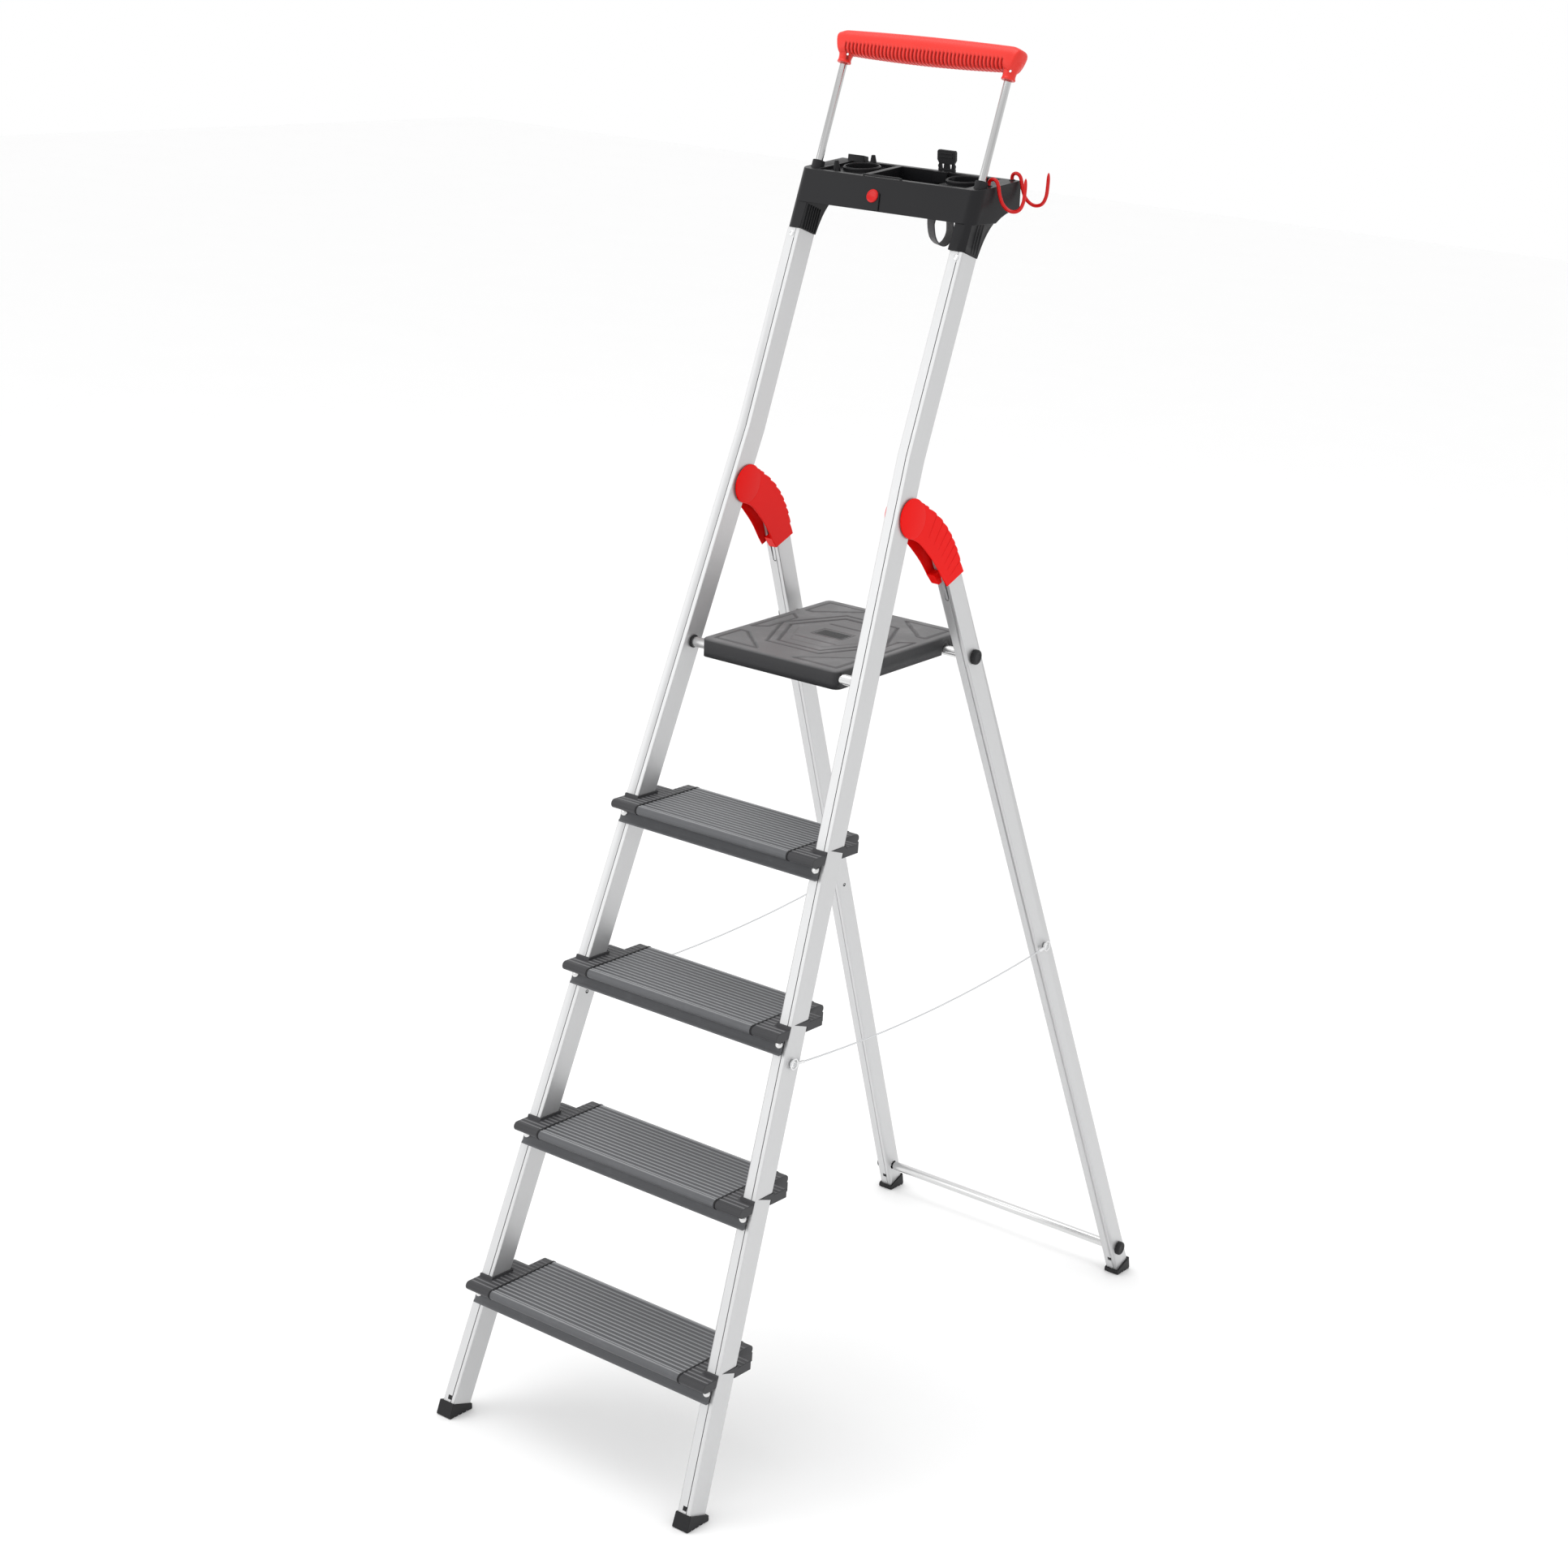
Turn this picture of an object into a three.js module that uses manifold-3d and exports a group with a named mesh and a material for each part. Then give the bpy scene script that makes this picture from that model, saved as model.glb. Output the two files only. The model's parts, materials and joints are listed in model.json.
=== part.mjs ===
// A household step ladder of aluminium: four ribbed treads between two front stiles, a fold-up
// platform, a rear support frame on plastic hinge covers, a tool tray and a pull-up hand rail.
//
// Millimetres. +X is the ladder's right as one climbs it, +Y runs from the climbing side to the
// rear legs, +Z is up. The origin is on the floor, in the middle of the front stiles' front faces,
// and the finished group is moved so that the origin is the middle of the whole footprint.

import * as THREE from "three";
import { mergeVertices } from "three/addons/utils/BufferGeometryUtils.js";
import Module from "manifold-3d";

const wasm = await Module();
wasm.setup();

// ---------------------------------------------------------------- driving dimensions

const GAP = 0.3; // between pieces that touch
const RUN = 0.4; // running clearance round a pin or a rod

// Front frame: distances "along" are measured up the stile, "depth" back from its front face.
const FRONT_LEAN = THREE.MathUtils.degToRad(18.33);
const FRONT_HALF = 214; // half the width over the stiles at the floor
const TOP_HALF = 137.5; // the same above the bend
const BEND_ALONG = 1362;
const STILE_TOP = 1623;
const STILE_BOTTOM = 14.5;
const STILE_WIDTH = 20;
const STILE_DEPTH = 33.3;
const WALL = 1.6; // wall of every box section
const GROOVE_SHARE = 0.68; // where the front face's groove lies across the face
const GROOVE_WIDTH = 1.1;
const GROOVE_DEPTH = 0.7;

// Rear frame.
const REAR_SPREAD = 1002.5; // front stile's face to rear leg's face, on the floor
const REAR_FLARE = 5.4; // leg's outer face beyond the stile's, on the floor
const HINGE_SIDE_STEP = 0.1; // stile's outer face beyond the leg's, at the hinge
const LEG_SETBACK = 43.352; // hinge pin to the leg's front face
const LEG_BOTTOM = 3;
const LEG_WIDTH = 18.5;
const LEG_DEPTH = 28.6;

// Hinge between the frames.
const HINGE_ALONG = 1289;
const HINGE_DEPTH = 25.7;
const HINGE_PIN = 4; // radius
const COVER_DISC = 25.7; // radius
const COVER_OUTER_WALL = 3.4;
const COVER_INNER_WALL = 5.2;
const COVER_CLEAR = 0.08; // least side play of the stile in the cover
const COVER_WEB = 2.2;
const COVER_REACH = 121; // hinge to the cover's lower end, down the leg
const CLIP_RISE = 17.5; // height of the block that clips over the leg's front
const CLIP_WIDTH = 11;

// Treads.
const TREADS = 4;
const FIRST_TREAD = 185.5; // height of the lowest tread's top
const PITCH = 210;
const NOSE_OUT = 29; // nose ahead of the stile's face, at the tread's top
const TREAD_DEPTH = 130;
const TREAD_SHEET = 2.2;
const TREAD_THICK = 12;
const NOSE_BLOCK_BACK = 3; // back of the front nose's block, ahead of the stile's face
const CAP_INSET = 42; // stile's outer face to the seam between tread and cap
const CAP_NOTCH_INSET = 25.5; // stile's outer face to the step in the cap's rear corner
const CAP_NOTCH_DEPTH = 36;
const COLLAR_RISE = 3.5;
const COLLAR_THICK = 2.4;
const APRON_OUT = 4.8; // apron's front ahead of the stile's face
const APRON_DROP = 31.5; // tread's top to the apron's lower edge
const RIVET_DROP = 20;
const RIVET_RADIUS = 4.6;

// Platform and the two tubes that carry it.
const PLATFORM_TOP = 1027; // over the front tube
const PLATFORM_HALF = 110.5;
const PLATFORM_FRONT = 342;
const PLATFORM_LENGTH = 272;
const PLATFORM_TILT = THREE.MathUtils.degToRad(1.8); // its rear edge is the higher one
const PLATFORM_SKIRT = 24.3;
const PLATFORM_WALL = 2.6;
const PLATFORM_CORNER = 9;
const TUBE_HEIGHT = 1015.5;
const TUBE_RADIUS = 6.8;
const BUSH_RADIUS = 8.6;
const BUSH_THICK = 2.2;
const BUSH_CLEAR = 0.9; // to the stile, whose face leans
const CLIP_LIP = 2; // the skirt's arch is this much wider than the rear tube

// Rear brace and the end caps of both rear tubes.
const BRACE_HEIGHT = 43.5;
const BRACE_RADIUS = 6.6;
const TUBE_CAP_RADIUS = 10;
const TUBE_CAP_THICK = 5.5;

// Feet.
const SHOE = 2.4; // wall of a foot round its leg
const FRONT_SHOE_TOP = 20.5;
const REAR_SHOE_TOP = 8;
const FRONT_TENON = 44; // how far up inside its leg a foot's tenon reaches
const REAR_TENON = 31.5;
const SNAP_ALONG = 27; // snap window's middle, along the leg
const SNAP_SIZE = 6;

// Tray.
const TRAY_HALF = 141;
const TRAY_OUT = 3; // front wall ahead of the stile's face
const TRAY_TOP = 1700; // along, at the front wall
const TRAY_APRON = 1657; // along, the front wall's lower edge
const TRAY_LENGTH = 92; // front wall's top to the rear wall
const TRAY_TILT = THREE.MathUtils.degToRad(5.7);
const TRAY_DEPTH = 36; // rear wall's height
const TRAY_WALL = 2.6;
const DECK_DROP = 5; // deck below the rim
const POST_RADIUS = 15; // tray's front corners
const BIN_LEFT = -38;
const BIN_RIGHT = 56;
const BIN_FRONT = 7;
const BIN_BACK = 84;
const BIN_DEPTH = 26;
const CUP_X = 81;
const CUP_BACK = 55; // cup's middle behind the front wall's top
const CUP_RADIUS = 21.5;
const CUP_RIM = 3.2;
const CUP_DEPTH = 26;
const BADGE_X = -15.5;
const BADGE_ALONG = 1676;
const BADGE_RADIUS = 8.6;
const BADGE_THICK = 2;

// Hand rail.
const ROD_RADIUS = 4.8;
const ROD_DEPTH = 16.6; // rod's axis behind the stile's face
const ROD_FOOT = 1566; // along, the rod's lower end with the rail pulled up
const COLLAR_SEAT = 1703;
const COLLAR_TOP = 1716;
const ROD_COLLAR = 8.2; // radius
const GRIP_HALF = 148;
const GRIP_TOP = 1887;
const GRIP_BOTTOM = 1857;
const GRIP_BELLY = 4.5; // how far the grip's underside bows down in the middle
const GRIP_DEPTH = 30;
const SOCKET_BOTTOM = 1845;
const SOCKET_RADIUS = 8.8;

// Hooks on the tray's right side.
const HOOK_WIRE = 2.3; // radius
const HOOK_BACKS = [36, 87]; // behind the front wall's top
const HOOK_INSET = 10.5; // hook's stem inside the tray's side

// Safety wires.
const WIRE_RADIUS = 1.1;
const WIRE_FRONT_HEIGHT = 560;
const WIRE_REAR_HEIGHT = 573;
const WIRE_STANDOFF = 4.2; // wire's axis outside the stile's face
const SCREW_RADIUS = 5.5;
const SCREW_HEAD = 3;

// Strap and buckle.
const STRAP_X = 24;
const STRAP_WIDTH = 20;
const STRAP_THICK = 1.8;
const BUCKLE_WIDTH = 25;
const BUCKLE_LOW = -3; // buckle's lower end, above the tray's rim
const BUCKLE_HIGH = 25.5;

const SIDES = [
  ["left", -1],
  ["right", 1],
];

// ---------------------------------------------------------------- materials

const material = (color, roughness, metalness = 0) =>
  new THREE.MeshStandardMaterial({ color, roughness, metalness });

const aluminium = material(0xd9dadb, 0.42, 0.9);
const brightMetal = material(0xe6e7e8, 0.25, 1);
const steel = material(0xc4c7ca, 0.22, 1);
const treadMetal = material(0x6f7174, 0.5, 0.6);
const blackPlastic = material(0x2b2c2e, 0.55);
const greyPlastic = material(0x45474b, 0.5);
const platformPlastic = material(0x56585b, 0.5);
const redPlastic = material(0xe02218, 0.38);
const gripPlastic = material(0xe8483c, 0.5);
const redCoating = material(0xc8141a, 0.2);
const webbing = material(0x1c1d1f, 0.85);

// ---------------------------------------------------------------- solids

/** Turns a closed three.js geometry into a manifold solid. */
function solid(geometry) {
  const bare = geometry.index ? geometry.toNonIndexed() : geometry.clone();
  for (const name of Object.keys(bare.attributes))
    if (name !== "position") bare.deleteAttribute(name);
  const merged = mergeVertices(bare, 1e-3);
  const mesh = new wasm.Mesh({
    numProp: 3,
    vertProperties: merged.attributes.position.array,
    triVerts: new Uint32Array(merged.index.array),
  });
  return new wasm.Manifold(mesh);
}

/** Turns a manifold solid back into a three.js geometry. */
function geometryOf(shape) {
  const mesh = shape.getMesh();
  const geometry = new THREE.BufferGeometry();
  const places = new THREE.BufferAttribute(new Float32Array(mesh.vertProperties), 3);
  geometry.setAttribute("position", places);
  geometry.setIndex(new THREE.BufferAttribute(new Uint32Array(mesh.triVerts), 1));
  const flat = geometry.toNonIndexed();
  flat.computeVertexNormals();
  return flat;
}

const join = (...parts) => geometryOf(parts.map(solid).reduce((a, b) => a.add(b)));
const cut = (body, ...tools) =>
  geometryOf(tools.map(solid).reduce((a, b) => a.subtract(b), solid(body)));
const overlap = (...parts) => geometryOf(parts.map(solid).reduce((a, b) => a.intersect(b)));

/** A closed outline from a list of [u, v] points. */
function outline(points) {
  return new THREE.Shape(points.map(([u, v]) => new THREE.Vector2(u, v)));
}

/** Extrudes an outline drawn in (y, z) from x = low to x = high. */
function prismX(shape, low, high, curveSegments = 10) {
  const flat = { depth: high - low, bevelEnabled: false, curveSegments };
  const geometry = new THREE.ExtrudeGeometry(shape, flat);
  const turn = new THREE.Matrix4().makeBasis(
    new THREE.Vector3(0, 1, 0),
    new THREE.Vector3(0, 0, 1),
    new THREE.Vector3(1, 0, 0),
  );
  return geometry.applyMatrix4(turn).translate(low, 0, 0);
}

/** Extrudes an outline drawn in (x, y) from z = low to z = high. */
function prismZ(shape, low, high, curveSegments = 8) {
  const flat = { depth: high - low, bevelEnabled: false, curveSegments };
  return new THREE.ExtrudeGeometry(shape, flat).translate(0, 0, low);
}

/** A box from its low and high corners. */
function block([x0, y0, z0], [x1, y1, z1]) {
  const box = new THREE.BoxGeometry(x1 - x0, y1 - y0, z1 - z0);
  return box.translate((x0 + x1) / 2, (y0 + y1) / 2, (z0 + z1) / 2);
}

/** A round bar along X. */
function barX(radius, low, high, y, z, sides = 20) {
  const bar = new THREE.CylinderGeometry(radius, radius, high - low, sides);
  return bar.rotateZ(Math.PI / 2).translate((low + high) / 2, y, z);
}

/** A round bar along Z. */
function barZ(radius, low, high, x, y, sides = 24) {
  const bar = new THREE.CylinderGeometry(radius, radius, high - low, sides);
  return bar.rotateX(Math.PI / 2).translate(x, y, (low + high) / 2);
}

/** A rectangle with round corners, in the plane of the first two axes. */
function roundRect(u0, v0, u1, v1, radius) {
  const shape = new THREE.Shape();
  shape.moveTo(u0 + radius, v0);
  shape.absarc(u1 - radius, v0 + radius, radius, -Math.PI / 2, 0);
  shape.absarc(u1 - radius, v1 - radius, radius, 0, Math.PI / 2);
  shape.absarc(u0 + radius, v1 - radius, radius, Math.PI / 2, Math.PI);
  shape.absarc(u0 + radius, v0 + radius, radius, Math.PI, Math.PI * 1.5);
  return shape;
}

/** Moves every point sideways in proportion to its height: x grows by slope * (level - z). */
function shear(geometry, slope, level) {
  const place = geometry.attributes.position;
  for (let i = 0; i < place.count; i++)
    place.setX(i, place.getX(i) + slope * (level - place.getZ(i)));
  return geometry;
}

/** A closed tube or bar: a section (with an optional hole) carried through stations along Z. */
function carried(section, hole, stations) {
  const contour = THREE.ShapeUtils.isClockWise(section) ? [...section].reverse() : section;
  const inner = THREE.ShapeUtils.isClockWise(hole) ? hole : [...hole].reverse();
  const rings = inner.length ? [contour, inner] : [contour];
  const faces = THREE.ShapeUtils.triangulateShape(contour, inner.length ? [inner] : []);
  const all = rings.flat();
  const corners = [];
  const corner = (point, station) =>
    corners.push(point.x + station.x, point.y, station.z);
  for (let s = 0; s + 1 < stations.length; s++) {
    const [low, high] = [stations[s], stations[s + 1]];
    for (const ring of rings)
      ring.forEach((p, i) => {
        const q = ring[(i + 1) % ring.length];
        for (const [point, station] of [
          [p, low],
          [q, low],
          [q, high],
          [p, low],
          [q, high],
          [p, high],
        ])
          corner(point, station);
      });
  }
  for (const [a, b, c] of faces) {
    for (const i of [a, c, b]) corner(all[i], stations[0]);
    for (const i of [a, b, c]) corner(all[i], stations[stations.length - 1]);
  }
  const geometry = new THREE.BufferGeometry();
  geometry.setAttribute("position", new THREE.Float32BufferAttribute(corners, 3));
  geometry.computeVertexNormals();
  return geometry;
}

/** A flat or round section carried along a smooth curve. */
function swept(points, shape, steps) {
  const extrudePath = new THREE.CatmullRomCurve3(points.map((p) => new THREE.Vector3(...p)));
  return new THREE.ExtrudeGeometry(shape, { steps, extrudePath, curveSegments: 8 });
}

/** A round section for swept(): sides + 1 points would repeat the first, so it is a polygon. */
function ring(radius, sides) {
  const turn = (2 * Math.PI) / sides;
  const at = (i) => [radius * Math.cos(i * turn), radius * Math.sin(i * turn)];
  return outline(Array.from({ length: sides }, (_, i) => at(i)));
}

// ---------------------------------------------------------------- the two frames' own axes

const frontTaper = (FRONT_HALF - TOP_HALF) / BEND_ALONG;

/** From (x, depth, along) of the front frame to the ladder's axes. */
const inFront = (geometry) => geometry.rotateX(-FRONT_LEAN);
/** From (x, depth, along) of the rear frame to the ladder's axes. */
const inRear = (geometry) => geometry.rotateX(rearLean).translate(0, REAR_SPREAD, 0);

const frontHalf = (along) => FRONT_HALF - frontTaper * Math.min(along, BEND_ALONG);
const rearHalf = (along) => rearHalfLow - rearTaper * along;
/** Where the front face lies at a height. */
const faceY = (z) => z * Math.tan(FRONT_LEAN);

function frontPoint(depth, along) {
  const [s, c] = [Math.sin(FRONT_LEAN), Math.cos(FRONT_LEAN)];
  return { y: along * s + depth * c, z: along * c - depth * s };
}

function frontPlace(y, z) {
  const [s, c] = [Math.sin(FRONT_LEAN), Math.cos(FRONT_LEAN)];
  return { depth: y * c - z * s, along: y * s + z * c };
}

function rearPoint(depth, along) {
  const [s, c] = [Math.sin(rearLean), Math.cos(rearLean)];
  return { y: REAR_SPREAD - along * s + depth * c, z: along * c + depth * s };
}

function rearPlace(y, z) {
  const [s, c] = [Math.sin(rearLean), Math.cos(rearLean)];
  const back = y - REAR_SPREAD;
  return { depth: back * c + z * s, along: z * c - back * s };
}

const hinge = frontPoint(HINGE_DEPTH, HINGE_ALONG);
const hingeBehind = REAR_SPREAD - hinge.y;
const hingeReach = Math.hypot(hingeBehind, hinge.z);
// The legs lean so that their front faces pass behind the pin by the setback.
const rearLean = Math.atan2(hingeBehind, hinge.z) - Math.asin(LEG_SETBACK / hingeReach);
const hingeInRear = rearPlace(hinge.y, hinge.z);
// They narrow so that they stand in line with the stiles at the hinge.
const rearHalfLow = FRONT_HALF + REAR_FLARE;
const legHalfAtHinge = frontHalf(HINGE_ALONG) - HINGE_SIDE_STEP;
const rearTaper = (rearHalfLow - legHalfAtHinge) / hingeInRear.along;
// A tapering stile slants across the cover's disc, so the play grows with the taper.
const coverPlay = COVER_CLEAR + (frontTaper * COVER_DISC) / 2;

/** Middle of the front stile's depth, at a height. */
const stileMiddleY = (z) => faceY(z) + STILE_DEPTH / 2 / Math.cos(FRONT_LEAN);
/** Middle of the rear leg's depth, at a height. */
const legMiddleY = (z) =>
  REAR_SPREAD - z * Math.tan(rearLean) + LEG_DEPTH / 2 / Math.cos(rearLean);

// ---------------------------------------------------------------- box sections

/** Outline of a box section with the shallow groove down its front face. */
function boxSection(width, depth) {
  const groove = width * GROOVE_SHARE;
  const points = [
    [0, 0],
    [groove - GROOVE_WIDTH / 2, 0],
    [groove - GROOVE_WIDTH / 2, GROOVE_DEPTH],
    [groove + GROOVE_WIDTH / 2, GROOVE_DEPTH],
    [groove + GROOVE_WIDTH / 2, 0],
    [width, 0],
    [width, depth],
    [0, depth],
  ];
  return points.map(([u, v]) => new THREE.Vector2(u, v));
}

/** A plain rectangle, grown by a margin, as points. */
function boxHole(width, depth, margin) {
  const [low, right, back] = [-margin, width + margin, depth + margin];
  const points = [
    [low, low],
    [right, low],
    [right, back],
    [low, back],
  ];
  return points.map(([u, v]) => new THREE.Vector2(u, v));
}

/** Left edge of a member of the given half width on one side. */
const leftEdge = (side, half, width) => (side > 0 ? half - width : -half);

function stileStations(side, low, high) {
  const stops = [low, BEND_ALONG, high].filter((a, i) => i !== 1 || (a > low && a < high));
  return stops.map((z) => ({ x: leftEdge(side, frontHalf(z), STILE_WIDTH), z }));
}

/** A solid bar where the front stile runs, grown on every side. */
function stileBar(side, low, high, margin) {
  const section = boxHole(STILE_WIDTH, STILE_DEPTH, margin);
  return inFront(carried(section, [], stileStations(side, low, high)));
}

function legStations(side, low, high) {
  return [low, high].map((z) => ({ x: leftEdge(side, rearHalf(z), LEG_WIDTH), z }));
}

function legBar(side, low, high, margin) {
  const section = boxHole(LEG_WIDTH, LEG_DEPTH, margin);
  return inRear(carried(section, [], legStations(side, low, high)));
}

/** The window in a member's front wall that a foot's snap clicks into, in the member's axes. */
function snapWindow(x, size, low, high) {
  const half = size / 2;
  return block([x - half, low, SNAP_ALONG - half], [x + half, high, SNAP_ALONG + half]);
}

// ---------------------------------------------------------------- front frame

function stile(side) {
  const hole = boxHole(STILE_WIDTH, STILE_DEPTH, -WALL);
  const section = boxSection(STILE_WIDTH, STILE_DEPTH);
  const tube = carried(section, hole, stileStations(side, STILE_BOTTOM, STILE_TOP));
  const middle = side * (frontHalf(HINGE_ALONG) - STILE_WIDTH / 2);
  const reach = STILE_WIDTH;
  const pin = barX(HINGE_PIN + RUN, middle - reach, middle + reach, HINGE_DEPTH, HINGE_ALONG);
  const snapX = side * (frontHalf(SNAP_ALONG) - STILE_WIDTH / 2);
  const window = snapWindow(snapX, SNAP_SIZE, -WALL, 2 * WALL);
  const { depth, along } = frontPlace(stileMiddleY(TUBE_HEIGHT), TUBE_HEIGHT);
  const wall = side * (frontHalf(along) - STILE_WIDTH + WALL / 2);
  const tubeHole = barX(TUBE_RADIUS + GAP, wall - 2 * WALL, wall + 2 * WALL, depth, along);
  return inFront(cut(tube, pin, window, tubeHole));
}

/** Section of a tread: rolled noses, a top sheet, and the apron in front of the stiles. */
function treadSection() {
  const nose = TREAD_THICK / 2;
  const [front, back] = [-NOSE_OUT, TREAD_DEPTH - NOSE_OUT];
  const shape = new THREE.Shape();
  shape.moveTo(front + nose, 0);
  shape.absarc(front + nose, -nose, nose, Math.PI / 2, Math.PI * 1.5);
  shape.lineTo(-NOSE_BLOCK_BACK, -TREAD_THICK);
  shape.lineTo(-NOSE_BLOCK_BACK, -TREAD_SHEET);
  shape.lineTo(back - nose - TREAD_THICK, -TREAD_SHEET);
  shape.lineTo(back - nose - TREAD_THICK, -TREAD_THICK);
  shape.absarc(back - nose, -nose, nose, -Math.PI / 2, Math.PI / 2);
  shape.closePath();
  return shape;
}

/** Section of the apron: a skin with a lip along its lower edge, both leaning with the stile. */
function apronSection() {
  const lean = Math.tan(FRONT_LEAN);
  const at = (out, drop) => [-out / Math.cos(FRONT_LEAN) - drop * lean, -drop];
  const skin = APRON_OUT - TREAD_SHEET;
  const lip = APRON_OUT + 1.6;
  const lipTop = APRON_DROP - TREAD_SHEET;
  const top = TREAD_THICK - TREAD_SHEET;
  return outline([
    at(APRON_OUT, top),
    at(APRON_OUT, lipTop - 1),
    at(lip, lipTop),
    at(lip, APRON_DROP),
    at(GAP, APRON_DROP),
    at(GAP, lipTop),
    at(skin, lipTop),
    at(skin, TREAD_THICK + TREAD_SHEET),
    at(GAP, TREAD_THICK + TREAD_SHEET),
    at(GAP, top),
  ]);
}

const treadTop = (n) => FIRST_TREAD + (n - 1) * PITCH;
const alongOf = (z) => z / Math.cos(FRONT_LEAN);
const treadHalf = (n) => frontHalf(alongOf(treadTop(n)));

function tread(n) {
  const [top, half] = [treadTop(n), treadHalf(n)];
  const seam = half - CAP_INSET;
  const shelf = prismX(treadSection(), -seam, seam, 6);
  const apronEnd = half - 4;
  const apron = prismX(apronSection(), -apronEnd, apronEnd);
  const capRoom = SIDES.map(([, side]) => {
    const x = side > 0 ? [seam, 2 * half] : [-2 * half, -seam];
    return block([x[0], -TREAD_DEPTH, -TREAD_THICK - GAP], [x[1], TREAD_DEPTH, GAP]);
  });
  return join(shelf, cut(apron, ...capRoom)).translate(0, faceY(top), top);
}

/** Solid section of a tread's end cap, the same outline as the tread. */
function capSection() {
  const nose = TREAD_THICK / 2;
  const [front, back] = [-NOSE_OUT, TREAD_DEPTH - NOSE_OUT];
  const shape = new THREE.Shape();
  shape.moveTo(front + nose, 0);
  shape.absarc(front + nose, -nose, nose, Math.PI / 2, Math.PI * 1.5);
  shape.absarc(back - nose, -nose, nose, -Math.PI / 2, Math.PI / 2);
  shape.closePath();
  return shape;
}

function treadCap(n, side) {
  const [top, half] = [treadTop(n), treadHalf(n)];
  const mirrored = (low, high) => (side > 0 ? [low, high] : [-high, -low]);
  const [seam, outer] = [half - CAP_INSET + GAP, half];
  const body = prismX(capSection(), ...mirrored(seam, outer), 6);
  const back = TREAD_DEPTH - NOSE_OUT;
  const [k0, k1] = mirrored(seam, half - CAP_NOTCH_INSET);
  const foot = block([k0, back - 17, -2 * TREAD_THICK], [k1, back, -TREAD_THICK + 1]);
  const [n0, n1] = mirrored(half - CAP_NOTCH_INSET, outer + 1);
  const notch = block([n0, back - CAP_NOTCH_DEPTH, -TREAD_THICK - 1], [n1, back + 1, 1]);
  const place = (g) => g.translate(0, faceY(top), top);
  const [low, high] = [alongOf(top) - 60, alongOf(top) + 60];
  const slab = block([-outer, -TREAD_DEPTH, -1], [outer, TREAD_DEPTH, COLLAR_RISE]);
  const collar = overlap(stileBar(side, low, high, COLLAR_THICK), place(slab));
  const solidCap = join(place(cut(body, notch)), place(foot), collar);
  return cut(solidCap, stileBar(side, low, high, GAP));
}

/** A domed rivet head on the apron, in front of the stile's middle. */
function rivet(n, side) {
  const z = treadTop(n) - RIVET_DROP;
  const along = alongOf(z);
  const x = side * (frontHalf(along) - STILE_WIDTH / 2);
  const profile = [
    [0, 0],
    [RIVET_RADIUS, 0],
    [RIVET_RADIUS * 0.92, 0.9],
    [RIVET_RADIUS * 0.6, 2.2],
    [0, 2.8],
  ].map(([r, h]) => new THREE.Vector2(r, h));
  const dome = new THREE.LatheGeometry(profile, 12);
  const out = -(APRON_OUT + GAP);
  return inFront(dome.rotateX(Math.PI).translate(x, out, along));
}

/** Side outline of a foot in (y, z), flat on the floor, its top square to the leg. */
function shoeOutline(pointAt, top, depth) {
  const front = pointAt(-SHOE, top);
  const back = pointAt(depth + SHOE, top);
  const low = pointAt(depth + SHOE, 0);
  const lowFront = pointAt(-SHOE, 0);
  return outline([
    [Math.min(lowFront.y, front.y), 1.5],
    [Math.min(lowFront.y, front.y) + 1.5, 0],
    [Math.max(low.y, back.y), 0],
    [Math.max(low.y, back.y) + 0.5, 2],
    [back.y, back.z],
    [front.y, front.z],
  ]);
}

/** Cross cuts in a foot's sole. */
function soleCuts(from, to, x0, x1) {
  const count = 4;
  const step = (to - from) / (count + 1);
  return Array.from({ length: count }, (_, i) => {
    const y = from + step * (i + 1);
    return block([x0, y - 1, -1], [x1, y + 1, 1.4]);
  });
}

function frontFoot(side) {
  const half = frontHalf(0);
  const [x0, x1] =
    side > 0
      ? [half - STILE_WIDTH - SHOE, half + SHOE]
      : [-half - SHOE, -half + STILE_WIDTH + SHOE];
  const shoe = prismX(shoeOutline(frontPoint, FRONT_SHOE_TOP, STILE_DEPTH), x0, x1);
  const pocket = stileBar(side, STILE_BOTTOM - GAP, FRONT_SHOE_TOP + 20, GAP);
  const tenon = stileBar(side, STILE_BOTTOM - 2, FRONT_TENON, -WALL - GAP);
  const x = side * (frontHalf(SNAP_ALONG) - STILE_WIDTH / 2);
  const tab = inFront(snapWindow(x, SNAP_SIZE - 2 * GAP, 0, 2 * WALL));
  const cuts = soleCuts(0, 38, x0 - 1, x1 + 1);
  return join(cut(shoe, pocket, ...cuts), tenon, tab);
}

const frontTubeY = stileMiddleY(TUBE_HEIGHT);
const rearTubeY = legMiddleY(TUBE_HEIGHT);

const tubeAlong = frontPlace(frontTubeY, TUBE_HEIGHT).along;
const innerFace = frontHalf(tubeAlong) - STILE_WIDTH;

function platformTube() {
  const end = innerFace + STILE_WIDTH / 2;
  return barX(TUBE_RADIUS, -end, end, frontTubeY, TUBE_HEIGHT);
}

function tubeBush(side) {
  const high = innerFace - BUSH_CLEAR;
  const low = high - BUSH_THICK;
  const span = side > 0 ? [low, high] : [-high, -low];
  const body = barX(BUSH_RADIUS, ...span, frontTubeY, TUBE_HEIGHT);
  return cut(body, barX(TUBE_RADIUS + GAP, -FRONT_HALF, FRONT_HALF, frontTubeY, TUBE_HEIGHT));
}

// ---------------------------------------------------------------- tray

/** From (x, back, up) of the tilted tray, measured from its front wall's top, to the ladder. */
function inTray(geometry) {
  const start = frontPoint(-TRAY_OUT, TRAY_TOP);
  return geometry.rotateX(TRAY_TILT).translate(0, start.y, start.z);
}

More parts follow.
